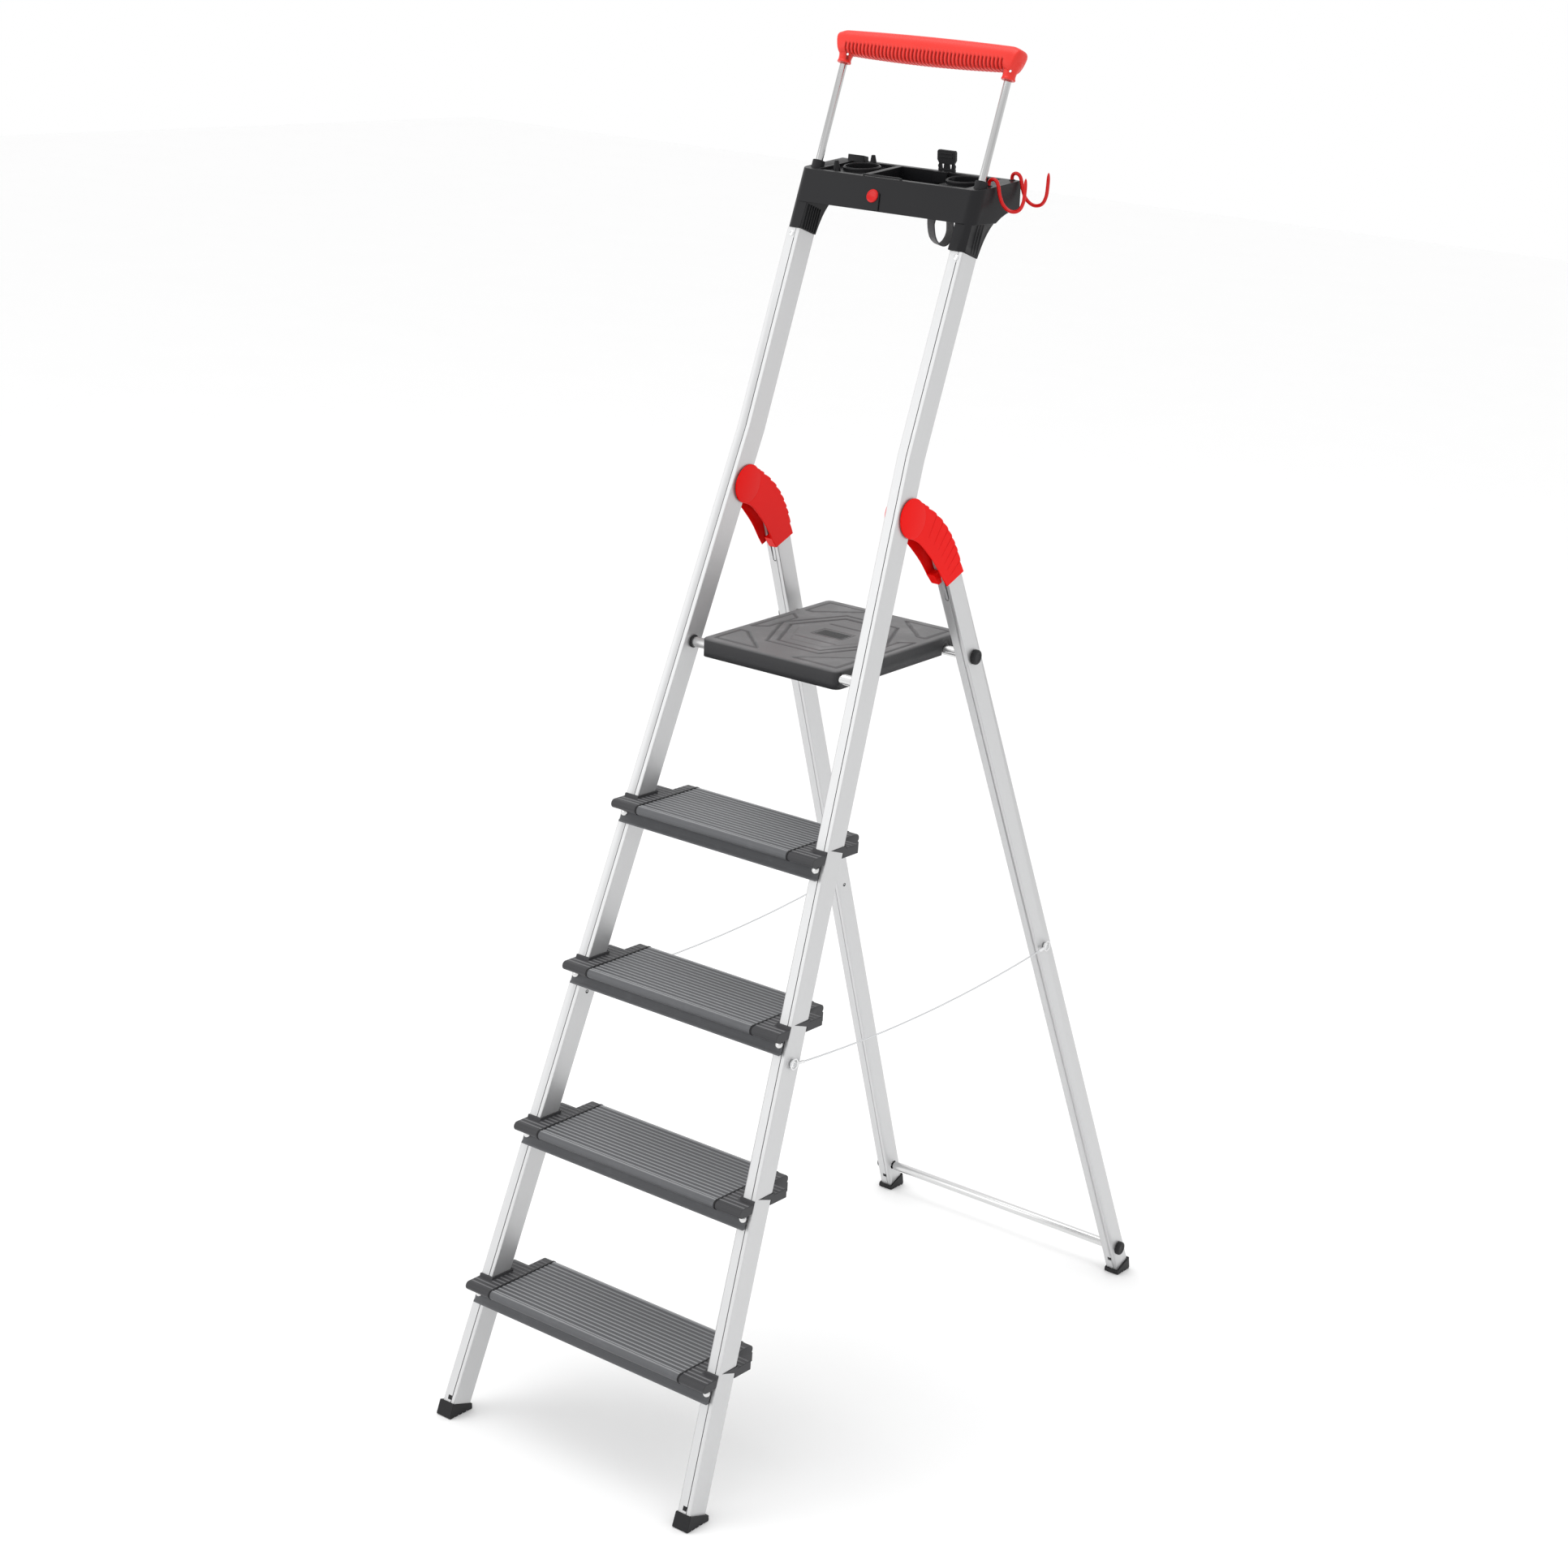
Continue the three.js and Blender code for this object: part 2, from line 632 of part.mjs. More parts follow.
function trayPoint(back, up) {
  const start = frontPoint(-TRAY_OUT, TRAY_TOP);
  const [s, c] = [Math.sin(TRAY_TILT), Math.cos(TRAY_TILT)];
  return [start.y + back * c - up * s, start.z + back * s + up * c];
}

/** Side outline of the tray's tub in (y, z). */
function tubOutline() {
  const apron = frontPoint(-TRAY_OUT, TRAY_APRON);
  const top = trayPoint(0, 0);
  return outline([
    [apron.y, apron.z],
    trayPoint(TRAY_LENGTH - 2, -TRAY_DEPTH),
    trayPoint(TRAY_LENGTH, 0),
    top,
  ]);
}

/** Side outline of one of the legs that carry the tray on the stiles, with its swept rear edge. */
function trayLegOutline() {
  const foot = STILE_TOP + GAP;
  const front = frontPoint(-TRAY_OUT, foot);
  const back = frontPoint(STILE_DEPTH, foot);
  const [by, bz] = trayPoint(TRAY_LENGTH - 3, -TRAY_DEPTH + 1);
  const knee = frontPoint(STILE_DEPTH + 3, STILE_TOP + 44);
  const shape = new THREE.Shape();
  shape.moveTo(front.y, front.z);
  shape.lineTo(back.y, back.z);
  shape.bezierCurveTo(knee.y - 4, knee.z - 16, knee.y + 10, bz - 4, by, bz);
  const [ty, tz] = trayPoint(TRAY_LENGTH - 3, -4);
  shape.lineTo(ty, tz);
  const [fy, fz] = trayPoint(1, -4);
  shape.lineTo(fy, fz);
  shape.closePath();
  return shape;
}

/** Plan of the tray in (x, depth), with round front corners, for a prism along the stiles. */
function trayPlan() {
  const shape = new THREE.Shape();
  const r = POST_RADIUS;
  const end = TRAY_LENGTH + 60;
  shape.moveTo(-TRAY_HALF, end);
  shape.lineTo(-TRAY_HALF, -TRAY_OUT + r);
  shape.absarc(-TRAY_HALF + r, -TRAY_OUT + r, r, Math.PI, Math.PI * 1.5);
  shape.absarc(TRAY_HALF - r, -TRAY_OUT + r, r, -Math.PI / 2, 0);
  shape.lineTo(TRAY_HALF, end);
  shape.closePath();
  return shape;
}

function tray() {
  const tub = prismX(tubOutline(), -TRAY_HALF, TRAY_HALF);
  const inner = TOP_HALF - STILE_WIDTH - 1.6;
  const legs = SIDES.map(([, side]) =>
    prismX(trayLegOutline(), ...(side > 0 ? [inner, TRAY_HALF] : [-TRAY_HALF, -inner])),
  );
  const plan = inFront(prismZ(trayPlan(), STILE_TOP, TRAY_TOP + 90));
  const flank = (side) => {
    const [low, high] = [TOP_HALF + 0.8, TRAY_HALF + 5];
    const x = side > 0 ? [low, high] : [-high, -low];
    const [y, z] = trayPoint(0, -TRAY_DEPTH - 6);
    return block([x[0], y - 60, z - 90], [x[1], y + 200, z]);
  };
  let body = overlap(join(tub, ...legs), plan);
  body = cut(body, flank(-1), flank(1), ...trayHollows(), underside());
  const plugs = SIDES.map(([, side]) =>
    stileBar(side, STILE_TOP - 34, STILE_TOP + 2, -WALL - GAP),
  );
  return cut(join(body, ...plugs, ...nubs()), ...rodBores());
}

/** The room under the decks, round the walls of the bin and the cups. */
function underside() {
  const inner = TOP_HALF - STILE_WIDTH - 6;
  const [low, high] = [-TRAY_DEPTH - 30, -DECK_DROP - TRAY_WALL];
  const space = block([-inner, TRAY_WALL + 4, low], [inner, TRAY_LENGTH - 2 * TRAY_WALL, high]);
  const bin = block(
    [BIN_LEFT - TRAY_WALL, -BIN_FRONT, -BIN_DEPTH - TRAY_WALL],
    [BIN_RIGHT + TRAY_WALL, TRAY_LENGTH, 0],
  );
  const cups = [-1, 1].map((side) =>
    barZ(CUP_RADIUS + TRAY_WALL, -CUP_DEPTH - TRAY_WALL, 0, side * CUP_X, CUP_BACK, 24),
  );
  return inTray(cut(space, bin, ...cups));
}

/** The bin, the cups, the sunk decks beside them and the openings under the tub. */
function trayHollows() {
  const bin = inTray(block([BIN_LEFT, BIN_FRONT, -BIN_DEPTH], [BIN_RIGHT, BIN_BACK, 20]));
  const cup = (side) =>
    inTray(barZ(CUP_RADIUS, -CUP_DEPTH, 20, side * CUP_X, CUP_BACK, 32));
  const cupDeck = (side) => {
    const sunk = block(
      [side * CUP_X - 34, BIN_FRONT, -DECK_DROP],
      [side * CUP_X + 34, BIN_BACK, 20],
    );
    const rim = barZ(CUP_RADIUS + CUP_RIM, -DECK_DROP - 5, 30, side * CUP_X, CUP_BACK, 32);
    return inTray(cut(sunk, rim));
  };
  return [bin, cup(-1), cup(1), cupDeck(-1), cupDeck(1)];
}

/** Two cone nubs and a clamp block on the left deck, and a tab on the bin's rear wall. */
function nubs() {
  const cone = (x, back) => {
    const body = new THREE.CylinderGeometry(2.6, 5.4, 15, 16).rotateX(Math.PI / 2);
    return inTray(body.translate(x, back, -DECK_DROP + 7));
  };
  const clamp = outline([
    [80, -DECK_DROP - 1],
    [92, -DECK_DROP - 1],
    [92, 5],
    [82, 8],
  ]);
  return [
    cone(-101, 27),
    cone(-86, BIN_BACK + 2),
    inTray(prismX(clamp, -124, -98)),
    inTray(block([14, BIN_BACK - 6, -14], [36, BIN_BACK + 2, 1])),
  ];
}

/** Bores for the hand rail's rods and the seats of their collars. */
function rodBores() {
  return SIDES.flatMap(([, side]) => {
    const x = side * (TOP_HALF - STILE_WIDTH / 2);
    const bore = barZ(ROD_RADIUS + RUN, STILE_TOP - 60, TRAY_TOP + 60, x, ROD_DEPTH);
    const seat = barZ(ROD_COLLAR + GAP, COLLAR_SEAT, TRAY_TOP + 60, x, ROD_DEPTH);
    return [inFront(bore), inFront(seat)];
  });
}

function badge() {
  const profile = [
    [0, 0],
    [BADGE_RADIUS, 0],
    [BADGE_RADIUS, BADGE_THICK * 0.6],
    [BADGE_RADIUS * 0.8, BADGE_THICK],
    [0, BADGE_THICK],
  ].map(([r, h]) => new THREE.Vector2(r, h));
  const disc = new THREE.LatheGeometry(profile, 24);
  return inFront(disc.rotateX(Math.PI).translate(BADGE_X, -TRAY_OUT - GAP, BADGE_ALONG));
}

function rodCollar(side) {
  const x = side * (TOP_HALF - STILE_WIDTH / 2);
  const body = barZ(ROD_COLLAR, COLLAR_SEAT + GAP, COLLAR_TOP, x, ROD_DEPTH);
  const bore = barZ(ROD_RADIUS + RUN, COLLAR_SEAT - 5, COLLAR_TOP + 5, x, ROD_DEPTH);
  return inFront(cut(body, bore));
}

/** A bent wire hook: a stem in the deck, over the rim, down outside the wall and up to its tip. */
function hook(back) {
  const stem = TRAY_HALF - HOOK_INSET;
  const route = [
    [stem, back, -1.5],
    [stem, back, 4],
    [stem + 1.8, back, 7.8],
    [stem + 6.5, back, 9.2],
    [stem + 11.5, back, 6.6],
    [stem + 14.3, back, 0],
    [stem + 16, back, -9],
    [stem + 20.5, back, -19.5],
    [stem + 28, back, -26],
    [stem + 37, back, -28],
    [stem + 46, back, -24.5],
    [stem + 51.5, back, -15],
    [stem + 53.5, back, -2],
    [stem + 54.5, back, 15],
  ];
  return inTray(swept(route, ring(HOOK_WIRE, 8), 36));
}

/** Sockets in the deck for the hooks' stems. */
function hookSockets() {
  const stem = TRAY_HALF - HOOK_INSET;
  return HOOK_BACKS.map((back) => inTray(barZ(HOOK_WIRE + RUN, -12, 30, stem, back, 16)));
}

/** Webbing: down behind the rear wall, round in a loose loop and up to the tray's floor. */
function strap() {
  const back = TRAY_LENGTH + 4;
  const half = STRAP_WIDTH / 2;
  const route = [
    [back, BUCKLE_LOW],
    [back, -12],
    [back, -24],
    [back, -TRAY_DEPTH],
    [back + 1, -60],
    [back + 1, -80],
    [back - 6, -92],
    [back - 15, -93],
    [back - 23, -84],
    [back - 26, -68],
    [back - 25, -52],
    [back - 22, -TRAY_DEPTH - 2.5],
  ];
  const middle = new THREE.SplineCurve(route.map(([u, v]) => new THREE.Vector2(u, v)));
  const count = 26;
  const [one, other] = [[], []];
  for (let i = 0; i <= count; i++) {
    const p = middle.getPoint(i / count);
    const t = middle.getTangent(i / count);
    one.push([p.x - (t.y * STRAP_THICK) / 2, p.y + (t.x * STRAP_THICK) / 2]);
    other.push([p.x + (t.y * STRAP_THICK) / 2, p.y - (t.x * STRAP_THICK) / 2]);
  }
  const band = outline([...one, ...other.reverse()]);
  return inTray(prismX(band, STRAP_X - half, STRAP_X + half));
}

/** The closed side-release buckle on the strap's upper end. */
function buckle() {
  const back = TRAY_LENGTH + 4;
  const half = BUCKLE_WIDTH / 2;
  const front = new THREE.Shape();
  const [low, high] = [BUCKLE_LOW + GAP, BUCKLE_HIGH];
  front.moveTo(-half, low);
  front.lineTo(half, low);
  front.lineTo(half - 2.5, low + 9);
  front.lineTo(half + 1.5, low + 18);
  front.lineTo(half + 1.5, high);
  front.lineTo(-half - 1.5, high);
  front.lineTo(-half - 1.5, low + 18);
  front.lineTo(-half + 2.5, low + 9);
  front.closePath();
  const flat = { depth: 6, bevelEnabled: false };
  const plate = new THREE.ExtrudeGeometry(front, flat).rotateX(Math.PI / 2);
  return inTray(plate.translate(STRAP_X, back + 3, 0));
}

/** A screw head that holds a safety wire's eyelet on a member's outer face. */
function wireScrew(side, half, y, z) {
  const profile = [
    [0, 0],
    [SCREW_RADIUS, 0],
    [SCREW_RADIUS, SCREW_HEAD * 0.5],
    [SCREW_RADIUS * 0.7, SCREW_HEAD],
    [0, SCREW_HEAD],
  ].map(([r, h]) => new THREE.Vector2(r, h));
  const head = new THREE.LatheGeometry(profile, 16).rotateZ((-side * Math.PI) / 2);
  return head.translate(side * (half + GAP + 0.6), y, z);
}

const wireFront = { y: stileMiddleY(WIRE_FRONT_HEIGHT), z: WIRE_FRONT_HEIGHT };
const wireRear = { y: legMiddleY(WIRE_REAR_HEIGHT), z: WIRE_REAR_HEIGHT };
const wireFrontHalf = frontHalf(frontPlace(wireFront.y, wireFront.z).along);
const wireRearHalf = rearHalf(rearPlace(wireRear.y, wireRear.z).along);

/** A thin steel wire that hangs in a shallow curve from the stile to the rear leg. */
function safetyWire(side) {
  const clear = SCREW_RADIUS + WIRE_RADIUS + GAP;
  const [x0, x1] = [wireFrontHalf + WIRE_STANDOFF, wireRearHalf + WIRE_STANDOFF];
  const [y0, y1] = [wireFront.y + clear, wireRear.y - clear];
  const drop = 14; // at the middle, below the straight line
  const count = 8;
  const route = Array.from({ length: count + 1 }, (_, i) => {
    const t = i / count;
    const sag = 4 * drop * t * (1 - t);
    const z = wireFront.z + (wireRear.z - wireFront.z) * t - sag;
    return [side * (x0 + (x1 - x0) * t), y0 + (y1 - y0) * t, z];
  });
  return swept(route, ring(WIRE_RADIUS, 8), 20);
}

// ---------------------------------------------------------------- hand rail

function rod(side) {
  const x = side * (TOP_HALF - STILE_WIDTH / 2);
  return inFront(barZ(ROD_RADIUS, ROD_FOOT, GRIP_TOP - 12, x, ROD_DEPTH));
}

/** The moulded grip: a bar with a bowed underside and a socket for each rod. */
function grip() {
  const across = GRIP_DEPTH / 2;
  const [low, high] = [GRIP_BOTTOM, GRIP_TOP];
  const belly = new THREE.Shape();
  belly.moveTo(-GRIP_HALF, low + 9);
  belly.quadraticCurveTo(-GRIP_HALF + 6, low + 1, -GRIP_HALF + 22, low);
  belly.quadraticCurveTo(0, low - 2 * GRIP_BELLY, GRIP_HALF - 22, low);
  belly.quadraticCurveTo(GRIP_HALF - 6, low + 1, GRIP_HALF, low + 9);
  belly.lineTo(GRIP_HALF, high - 16);
  belly.quadraticCurveTo(GRIP_HALF - 3, high - 3, GRIP_HALF - 22, high - 2);
  belly.quadraticCurveTo(0, high + 2, -GRIP_HALF + 22, high - 2);
  belly.quadraticCurveTo(-GRIP_HALF + 3, high - 3, -GRIP_HALF, high - 16);
  belly.closePath();
  const flat = { depth: GRIP_DEPTH, bevelEnabled: false, curveSegments: 10 };
  const face = new THREE.ExtrudeGeometry(belly, flat).rotateX(Math.PI / 2);
  const long = face.translate(0, ROD_DEPTH + across, 0);
  const round = roundSection(ROD_DEPTH, (low + high) / 2 - 2, across, (high - low) / 2 + 6);
  const bar = overlap(long, prismX(round, -GRIP_HALF - 5, GRIP_HALF + 5, 12));
  const x = TOP_HALF - STILE_WIDTH / 2;
  const sockets = SIDES.map(([, side]) =>
    barZ(SOCKET_RADIUS, SOCKET_BOTTOM, low + 14, side * x, ROD_DEPTH),
  );
  const bores = SIDES.map(([, side]) =>
    barZ(ROD_RADIUS + GAP, SOCKET_BOTTOM - 5, GRIP_TOP - 12 + GAP, side * x, ROD_DEPTH),
  );
  return inFront(cut(join(bar, ...sockets), ...bores));
}

/** An oval with flattened sides, in (y, z). */
function roundSection(y, z, halfY, halfZ) {
  const shape = new THREE.Shape();
  const count = 24;
  for (let i = 0; i < count; i++) {
    const turn = (2 * Math.PI * i) / count;
    const bulge = (v) => Math.sign(v) * Math.abs(v) ** 0.7;
    const p = [y + halfY * bulge(Math.cos(turn)), z + halfZ * bulge(Math.sin(turn))];
    if (i === 0) shape.moveTo(...p);
    else shape.lineTo(...p);
  }
  shape.closePath();
  return shape;
}

// ---------------------------------------------------------------- rear frame

/** Turns (back, down) measured from the hinge into (depth, along) of the rear frame. */
const fromHinge = ([back, down]) => [hingeInRear.depth + back, hingeInRear.along - down];

/** The cover's outer curve, from the disc to the lower end, moved inwards by an offset. */
function coverBack(offset) {
  const points = [
    [20, -13],
    [33, 0],
    [50, 25],
    [62, 50],
    [69, 72],
    [73, 92],
    [74.6, COVER_REACH],
  ];
  const curve = new THREE.SplineCurve(points.map(([u, v]) => new THREE.Vector2(u, v)));
  const count = 14;
  return Array.from({ length: count + 1 }, (_, i) => {
    const p = curve.getPoint(i / count);
    const t = curve.getTangent(i / count);
    return [p.x - t.y * offset, p.y + t.x * offset];
  });
}

/** The cover's inner curve, from the lower end back up to the disc. */
function coverFront() {
  const points = [
    [36, COVER_REACH],
    [31, 106],
    [24, 84],
    [14, 61.7],
    [0.5, 36.5],
    [-13, 21.5],
  ];
  return new THREE.SplineCurve(points.map(([u, v]) => new THREE.Vector2(u, v))).getPoints(10)
    .map((p) => [p.x, p.y]);
}

/** Sides of the channel inside a cover, at the hinge. */
function channel(side) {
  const half = rearHalf(hingeInRear.along);
  const [low, high] = [half - STILE_WIDTH - coverPlay, half + 2 * coverPlay];
  return side > 0 ? [low, high] : [-high, -low];
}

function cover(side) {
  const [low, high] = channel(side);
  const [wallLow, wallHigh] =
    side > 0 ? [COVER_INNER_WALL, COVER_OUTER_WALL] : [COVER_OUTER_WALL, COVER_INNER_WALL];
  const [x0, x1] = [low - wallLow, high + wallHigh];
  const arm = outline([...coverBack(0), ...coverFront()].map(fromHinge));
  const { depth, along } = hingeInRear;
  const lean = (g) => shear(g, side * rearTaper, along);
  const disc = barX(COVER_DISC, x0, x1, depth, along, 32);
  const room = [...coverBack(COVER_WEB).slice(2), [82, 160], [-60, 160], [-60, -60], [60, -60]];
  const inside = outline([...room, [60, -4], [29, -4]].map(fromHinge));
  const slot = prismX(inside, low, high);
  const pin = barX(HINGE_PIN + RUN, low - 2.6, high + 2.2, depth, along);
  const body = cut(join(prismX(arm, x0, x1), disc), slot, pin);
  const legFront = -depth - GAP;
  const clip = outline(
    [
      [36, COVER_REACH],
      [legFront, COVER_REACH],
      [legFront, COVER_REACH - CLIP_RISE],
      [30, COVER_REACH - CLIP_RISE],
    ].map(fromHinge),
  );
  const clipX = side > 0 ? [low - 1, low + CLIP_WIDTH] : [high - CLIP_WIDTH, high + 1];
  return inRear(lean(join(body, prismX(clip, ...clipX))));
}

/** Region behind the cover's web, where the leg is trimmed so that it fits inside. */
function legTrim(side) {
  const [low, high] = channel(side);
  const web = coverBack(COVER_WEB + GAP);
  const shape = outline([...web, [140, 131], [140, -40], [20, -40]].map(fromHinge));
  return inRear(prismX(shape, low - 30, high + 30));
}

function leg(side) {
  const hole = boxHole(LEG_WIDTH, LEG_DEPTH, -WALL);
  const section = boxSection(LEG_WIDTH, LEG_DEPTH);
  const top = hingeInRear.along - 52;
  const stations = legStations(side, LEG_BOTTOM, top);
  const tube = carried(section, hole, stations);
  const x = side * (rearHalf(SNAP_ALONG) - LEG_WIDTH / 2);
  const window = snapWindow(x, SNAP_SIZE, -WALL, 2 * WALL);
  const slotTop = hingeInRear.along - 150;
  const middle = side * (rearHalf(slotTop) - LEG_WIDTH / 2);
  const slot = roundRect(middle - 2.6, slotTop, middle + 2.6, slotTop + 60, 2.5);
  const flat = { depth: 2 * WALL, bevelEnabled: false, curveSegments: 5 };
  const slotCut = new THREE.ExtrudeGeometry(slot, flat).rotateX(Math.PI / 2).translate(0, WALL, 0);
  const cross = [
    [rearTubeY, TUBE_HEIGHT, TUBE_RADIUS],
    [legMiddleY(BRACE_HEIGHT), BRACE_HEIGHT, BRACE_RADIUS],
  ].map(([y, z, r]) => barX(r + GAP, -2 * rearHalfLow, 2 * rearHalfLow, y, z));
  return cut(inRear(cut(tube, window, slotCut)), legTrim(side), ...cross);
}

function hingePin(side) {
  const [low, high] = channel(side);
  return barX(HINGE_PIN, low - 2.2, high + 1.8, hinge.y, hinge.z);
}

const halfAt = (y, z) => rearHalf(rearPlace(y, z).along);

function rearTube(y, z, radius) {
  const end = halfAt(y, z) + 0.4;
  return barX(radius, -end, end, y, z);
}

function tubeCap(side, y, z) {
  const start = halfAt(y, z) + 1;
  const profile = [
    [0, 0],
    [TUBE_CAP_RADIUS, 0],
    [TUBE_CAP_RADIUS, TUBE_CAP_THICK * 0.7],
    [TUBE_CAP_RADIUS * 0.86, TUBE_CAP_THICK],
    [0, TUBE_CAP_THICK],
  ].map(([r, h]) => new THREE.Vector2(r, h));
  const head = new THREE.LatheGeometry(profile, 24).rotateZ((-side * Math.PI) / 2);
  return head.translate(side * start, y, z);
}

function rearFoot(side) {
  const half = rearHalf(0);
  const [x0, x1] =
    side > 0
      ? [half - LEG_WIDTH - SHOE, half + SHOE]
      : [-half - SHOE, -half + LEG_WIDTH + SHOE];
  const shoe = prismX(shoeOutline(rearPoint, REAR_SHOE_TOP, LEG_DEPTH), x0, x1);
  const pocket = legBar(side, LEG_BOTTOM - GAP, REAR_SHOE_TOP + 20, GAP);
  const tenon = legBar(side, LEG_BOTTOM - 1.5, REAR_TENON, -WALL - GAP);
  const x = side * (rearHalf(SNAP_ALONG) - LEG_WIDTH / 2);
  const tab = inRear(snapWindow(x, SNAP_SIZE - 2 * GAP, 0, 2 * WALL));
  const low = rearPoint(0, 0).y;
  const cuts = soleCuts(low, low + 36, x0 - 1, x1 + 1);
  return join(cut(shoe, pocket, ...cuts), tenon, tab);
}

// ---------------------------------------------------------------- platform

function platform() {
  const [y0, y1] = [PLATFORM_FRONT, PLATFORM_FRONT + PLATFORM_LENGTH];
  const [low, top] = [PLATFORM_TOP - PLATFORM_SKIRT, PLATFORM_TOP];
  const half = PLATFORM_HALF;
  const wall = PLATFORM_WALL;
  const outer = prismZ(roundRect(-half, y0, half, y1, PLATFORM_CORNER), low, top, 6);
  const inner = roundRect(
    -half + wall,
    y0 + wall,
    half - wall,
    y1 - wall,
    PLATFORM_CORNER - wall,
  );
  const hollow = prismZ(inner, low - 1, top - wall, 6);
  const front = barX(TUBE_RADIUS + RUN, -2 * half, 2 * half, frontTubeY, TUBE_HEIGHT);
  const arch = new THREE.Shape();
  const r = TUBE_RADIUS + CLIP_LIP;
  const apart = rearTubeY - frontTubeY;
  const archY = frontTubeY + apart * Math.cos(PLATFORM_TILT);
  const archZ = TUBE_HEIGHT - apart * Math.sin(PLATFORM_TILT);
  arch.moveTo(archY - r, low - 1);
  arch.lineTo(archY + r, low - 1);
  arch.absarc(archY, archZ, r, 0, Math.PI);
  arch.closePath();
  const rest = prismX(arch, -2 * half, 2 * half);
  const level = cut(outer, hollow, front, rest).translate(0, -frontTubeY, -TUBE_HEIGHT);
  return level.rotateX(PLATFORM_TILT).translate(0, frontTubeY, TUBE_HEIGHT);
}

// ---------------------------------------------------------------- the whole ladder

const ladder = new THREE.Group();

function add(name, geometry, look) {
  const mesh = new THREE.Mesh(geometry, look);
  mesh.name = name;
  ladder.add(mesh);
}

for (const [word, side] of SIDES) {
  add(`stile_${word}`, stile(side), aluminium);
  add(`foot_front_${word}`, frontFoot(side), blackPlastic);
  add(`tube_bush_${word}`, tubeBush(side), blackPlastic);
  add(`rod_collar_${word}`, rodCollar(side), blackPlastic);
  const front = wireScrew(side, wireFrontHalf, wireFront.y, wireFront.z);
  add(`wire_screw_front_${word}`, front, steel);
  add(`safety_wire_${word}`, safetyWire(side), steel);
  add(`rod_${word}`, rod(side), steel);
  add(`rear_leg_${word}`, leg(side), aluminium);
  add(`hinge_cover_${word}`, cover(side), redPlastic);
  add(`hinge_pin_${word}`, hingePin(side), steel);
  add(`foot_rear_${word}`, rearFoot(side), blackPlastic);
  add(`tube_cap_${word}`, tubeCap(side, rearTubeY, TUBE_HEIGHT), blackPlastic);
  const braceY = legMiddleY(BRACE_HEIGHT);
  add(`brace_cap_${word}`, tubeCap(side, braceY, BRACE_HEIGHT), blackPlastic);
  const rear = wireScrew(side, wireRearHalf, wireRear.y, wireRear.z);
  add(`wire_screw_rear_${word}`, rear, steel);
}

for (let n = 1; n <= TREADS; n++) {
  add(`tread_${n}`, tread(n), treadMetal);
  for (const [word, side] of SIDES) {
    add(`tread_cap_${n}_${word}`, treadCap(n, side), blackPlastic);
    add(`rivet_${n}_${word}`, rivet(n, side), brightMetal);
  }
}

add("platform_tube", platformTube(), brightMetal);
add("rear_tube", rearTube(rearTubeY, TUBE_HEIGHT, TUBE_RADIUS), brightMetal);
add("brace_tube", rearTube(legMiddleY(BRACE_HEIGHT), BRACE_HEIGHT, BRACE_RADIUS), brightMetal);
add("platform", platform(), platformPlastic);
add("tray", cut(tray(), ...hookSockets()), greyPlastic);
add("tray_badge", badge(), redCoating);
add("strap", strap(), webbing);
add("strap_buckle", buckle(), blackPlastic);
add("handle_grip", grip(), gripPlastic);
HOOK_BACKS.forEach((back, i) => add(`hook_${i + 1}`, hook(back), redCoating));

const room = new THREE.Box3().setFromObject(ladder);
ladder.position.y = -(room.min.y + room.max.y) / 2;
ladder.position.x = -(room.min.x + room.max.x) / 2;

export default ladder;
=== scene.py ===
import json
import math

import bmesh
import bpy
import numpy as np
from mathutils import Matrix, Vector

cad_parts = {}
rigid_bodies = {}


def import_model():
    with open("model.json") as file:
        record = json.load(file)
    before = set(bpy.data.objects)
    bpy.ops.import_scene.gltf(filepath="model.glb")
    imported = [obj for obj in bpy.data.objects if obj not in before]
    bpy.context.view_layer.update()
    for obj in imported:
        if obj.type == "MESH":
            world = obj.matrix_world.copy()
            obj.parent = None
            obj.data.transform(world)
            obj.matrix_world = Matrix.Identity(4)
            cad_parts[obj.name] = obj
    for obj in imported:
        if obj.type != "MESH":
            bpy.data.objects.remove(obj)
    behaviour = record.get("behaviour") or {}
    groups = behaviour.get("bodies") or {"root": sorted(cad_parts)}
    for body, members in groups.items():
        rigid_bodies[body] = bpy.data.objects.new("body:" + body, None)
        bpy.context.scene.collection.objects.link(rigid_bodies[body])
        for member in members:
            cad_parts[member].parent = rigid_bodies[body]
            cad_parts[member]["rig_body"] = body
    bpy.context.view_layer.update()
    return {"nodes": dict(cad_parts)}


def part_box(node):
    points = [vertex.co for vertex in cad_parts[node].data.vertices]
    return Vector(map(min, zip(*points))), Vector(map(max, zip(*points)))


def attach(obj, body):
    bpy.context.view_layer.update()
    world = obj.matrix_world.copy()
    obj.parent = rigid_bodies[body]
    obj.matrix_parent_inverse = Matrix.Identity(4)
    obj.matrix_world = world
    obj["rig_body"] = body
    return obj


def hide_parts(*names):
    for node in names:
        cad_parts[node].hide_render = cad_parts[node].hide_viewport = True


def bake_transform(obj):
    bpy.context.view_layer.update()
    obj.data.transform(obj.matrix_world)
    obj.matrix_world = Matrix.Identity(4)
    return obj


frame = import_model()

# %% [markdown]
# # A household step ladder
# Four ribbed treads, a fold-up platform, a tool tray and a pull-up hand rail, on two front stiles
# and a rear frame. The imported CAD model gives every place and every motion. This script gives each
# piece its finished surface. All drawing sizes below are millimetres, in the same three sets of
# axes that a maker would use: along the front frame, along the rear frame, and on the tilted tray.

MM = 0.001

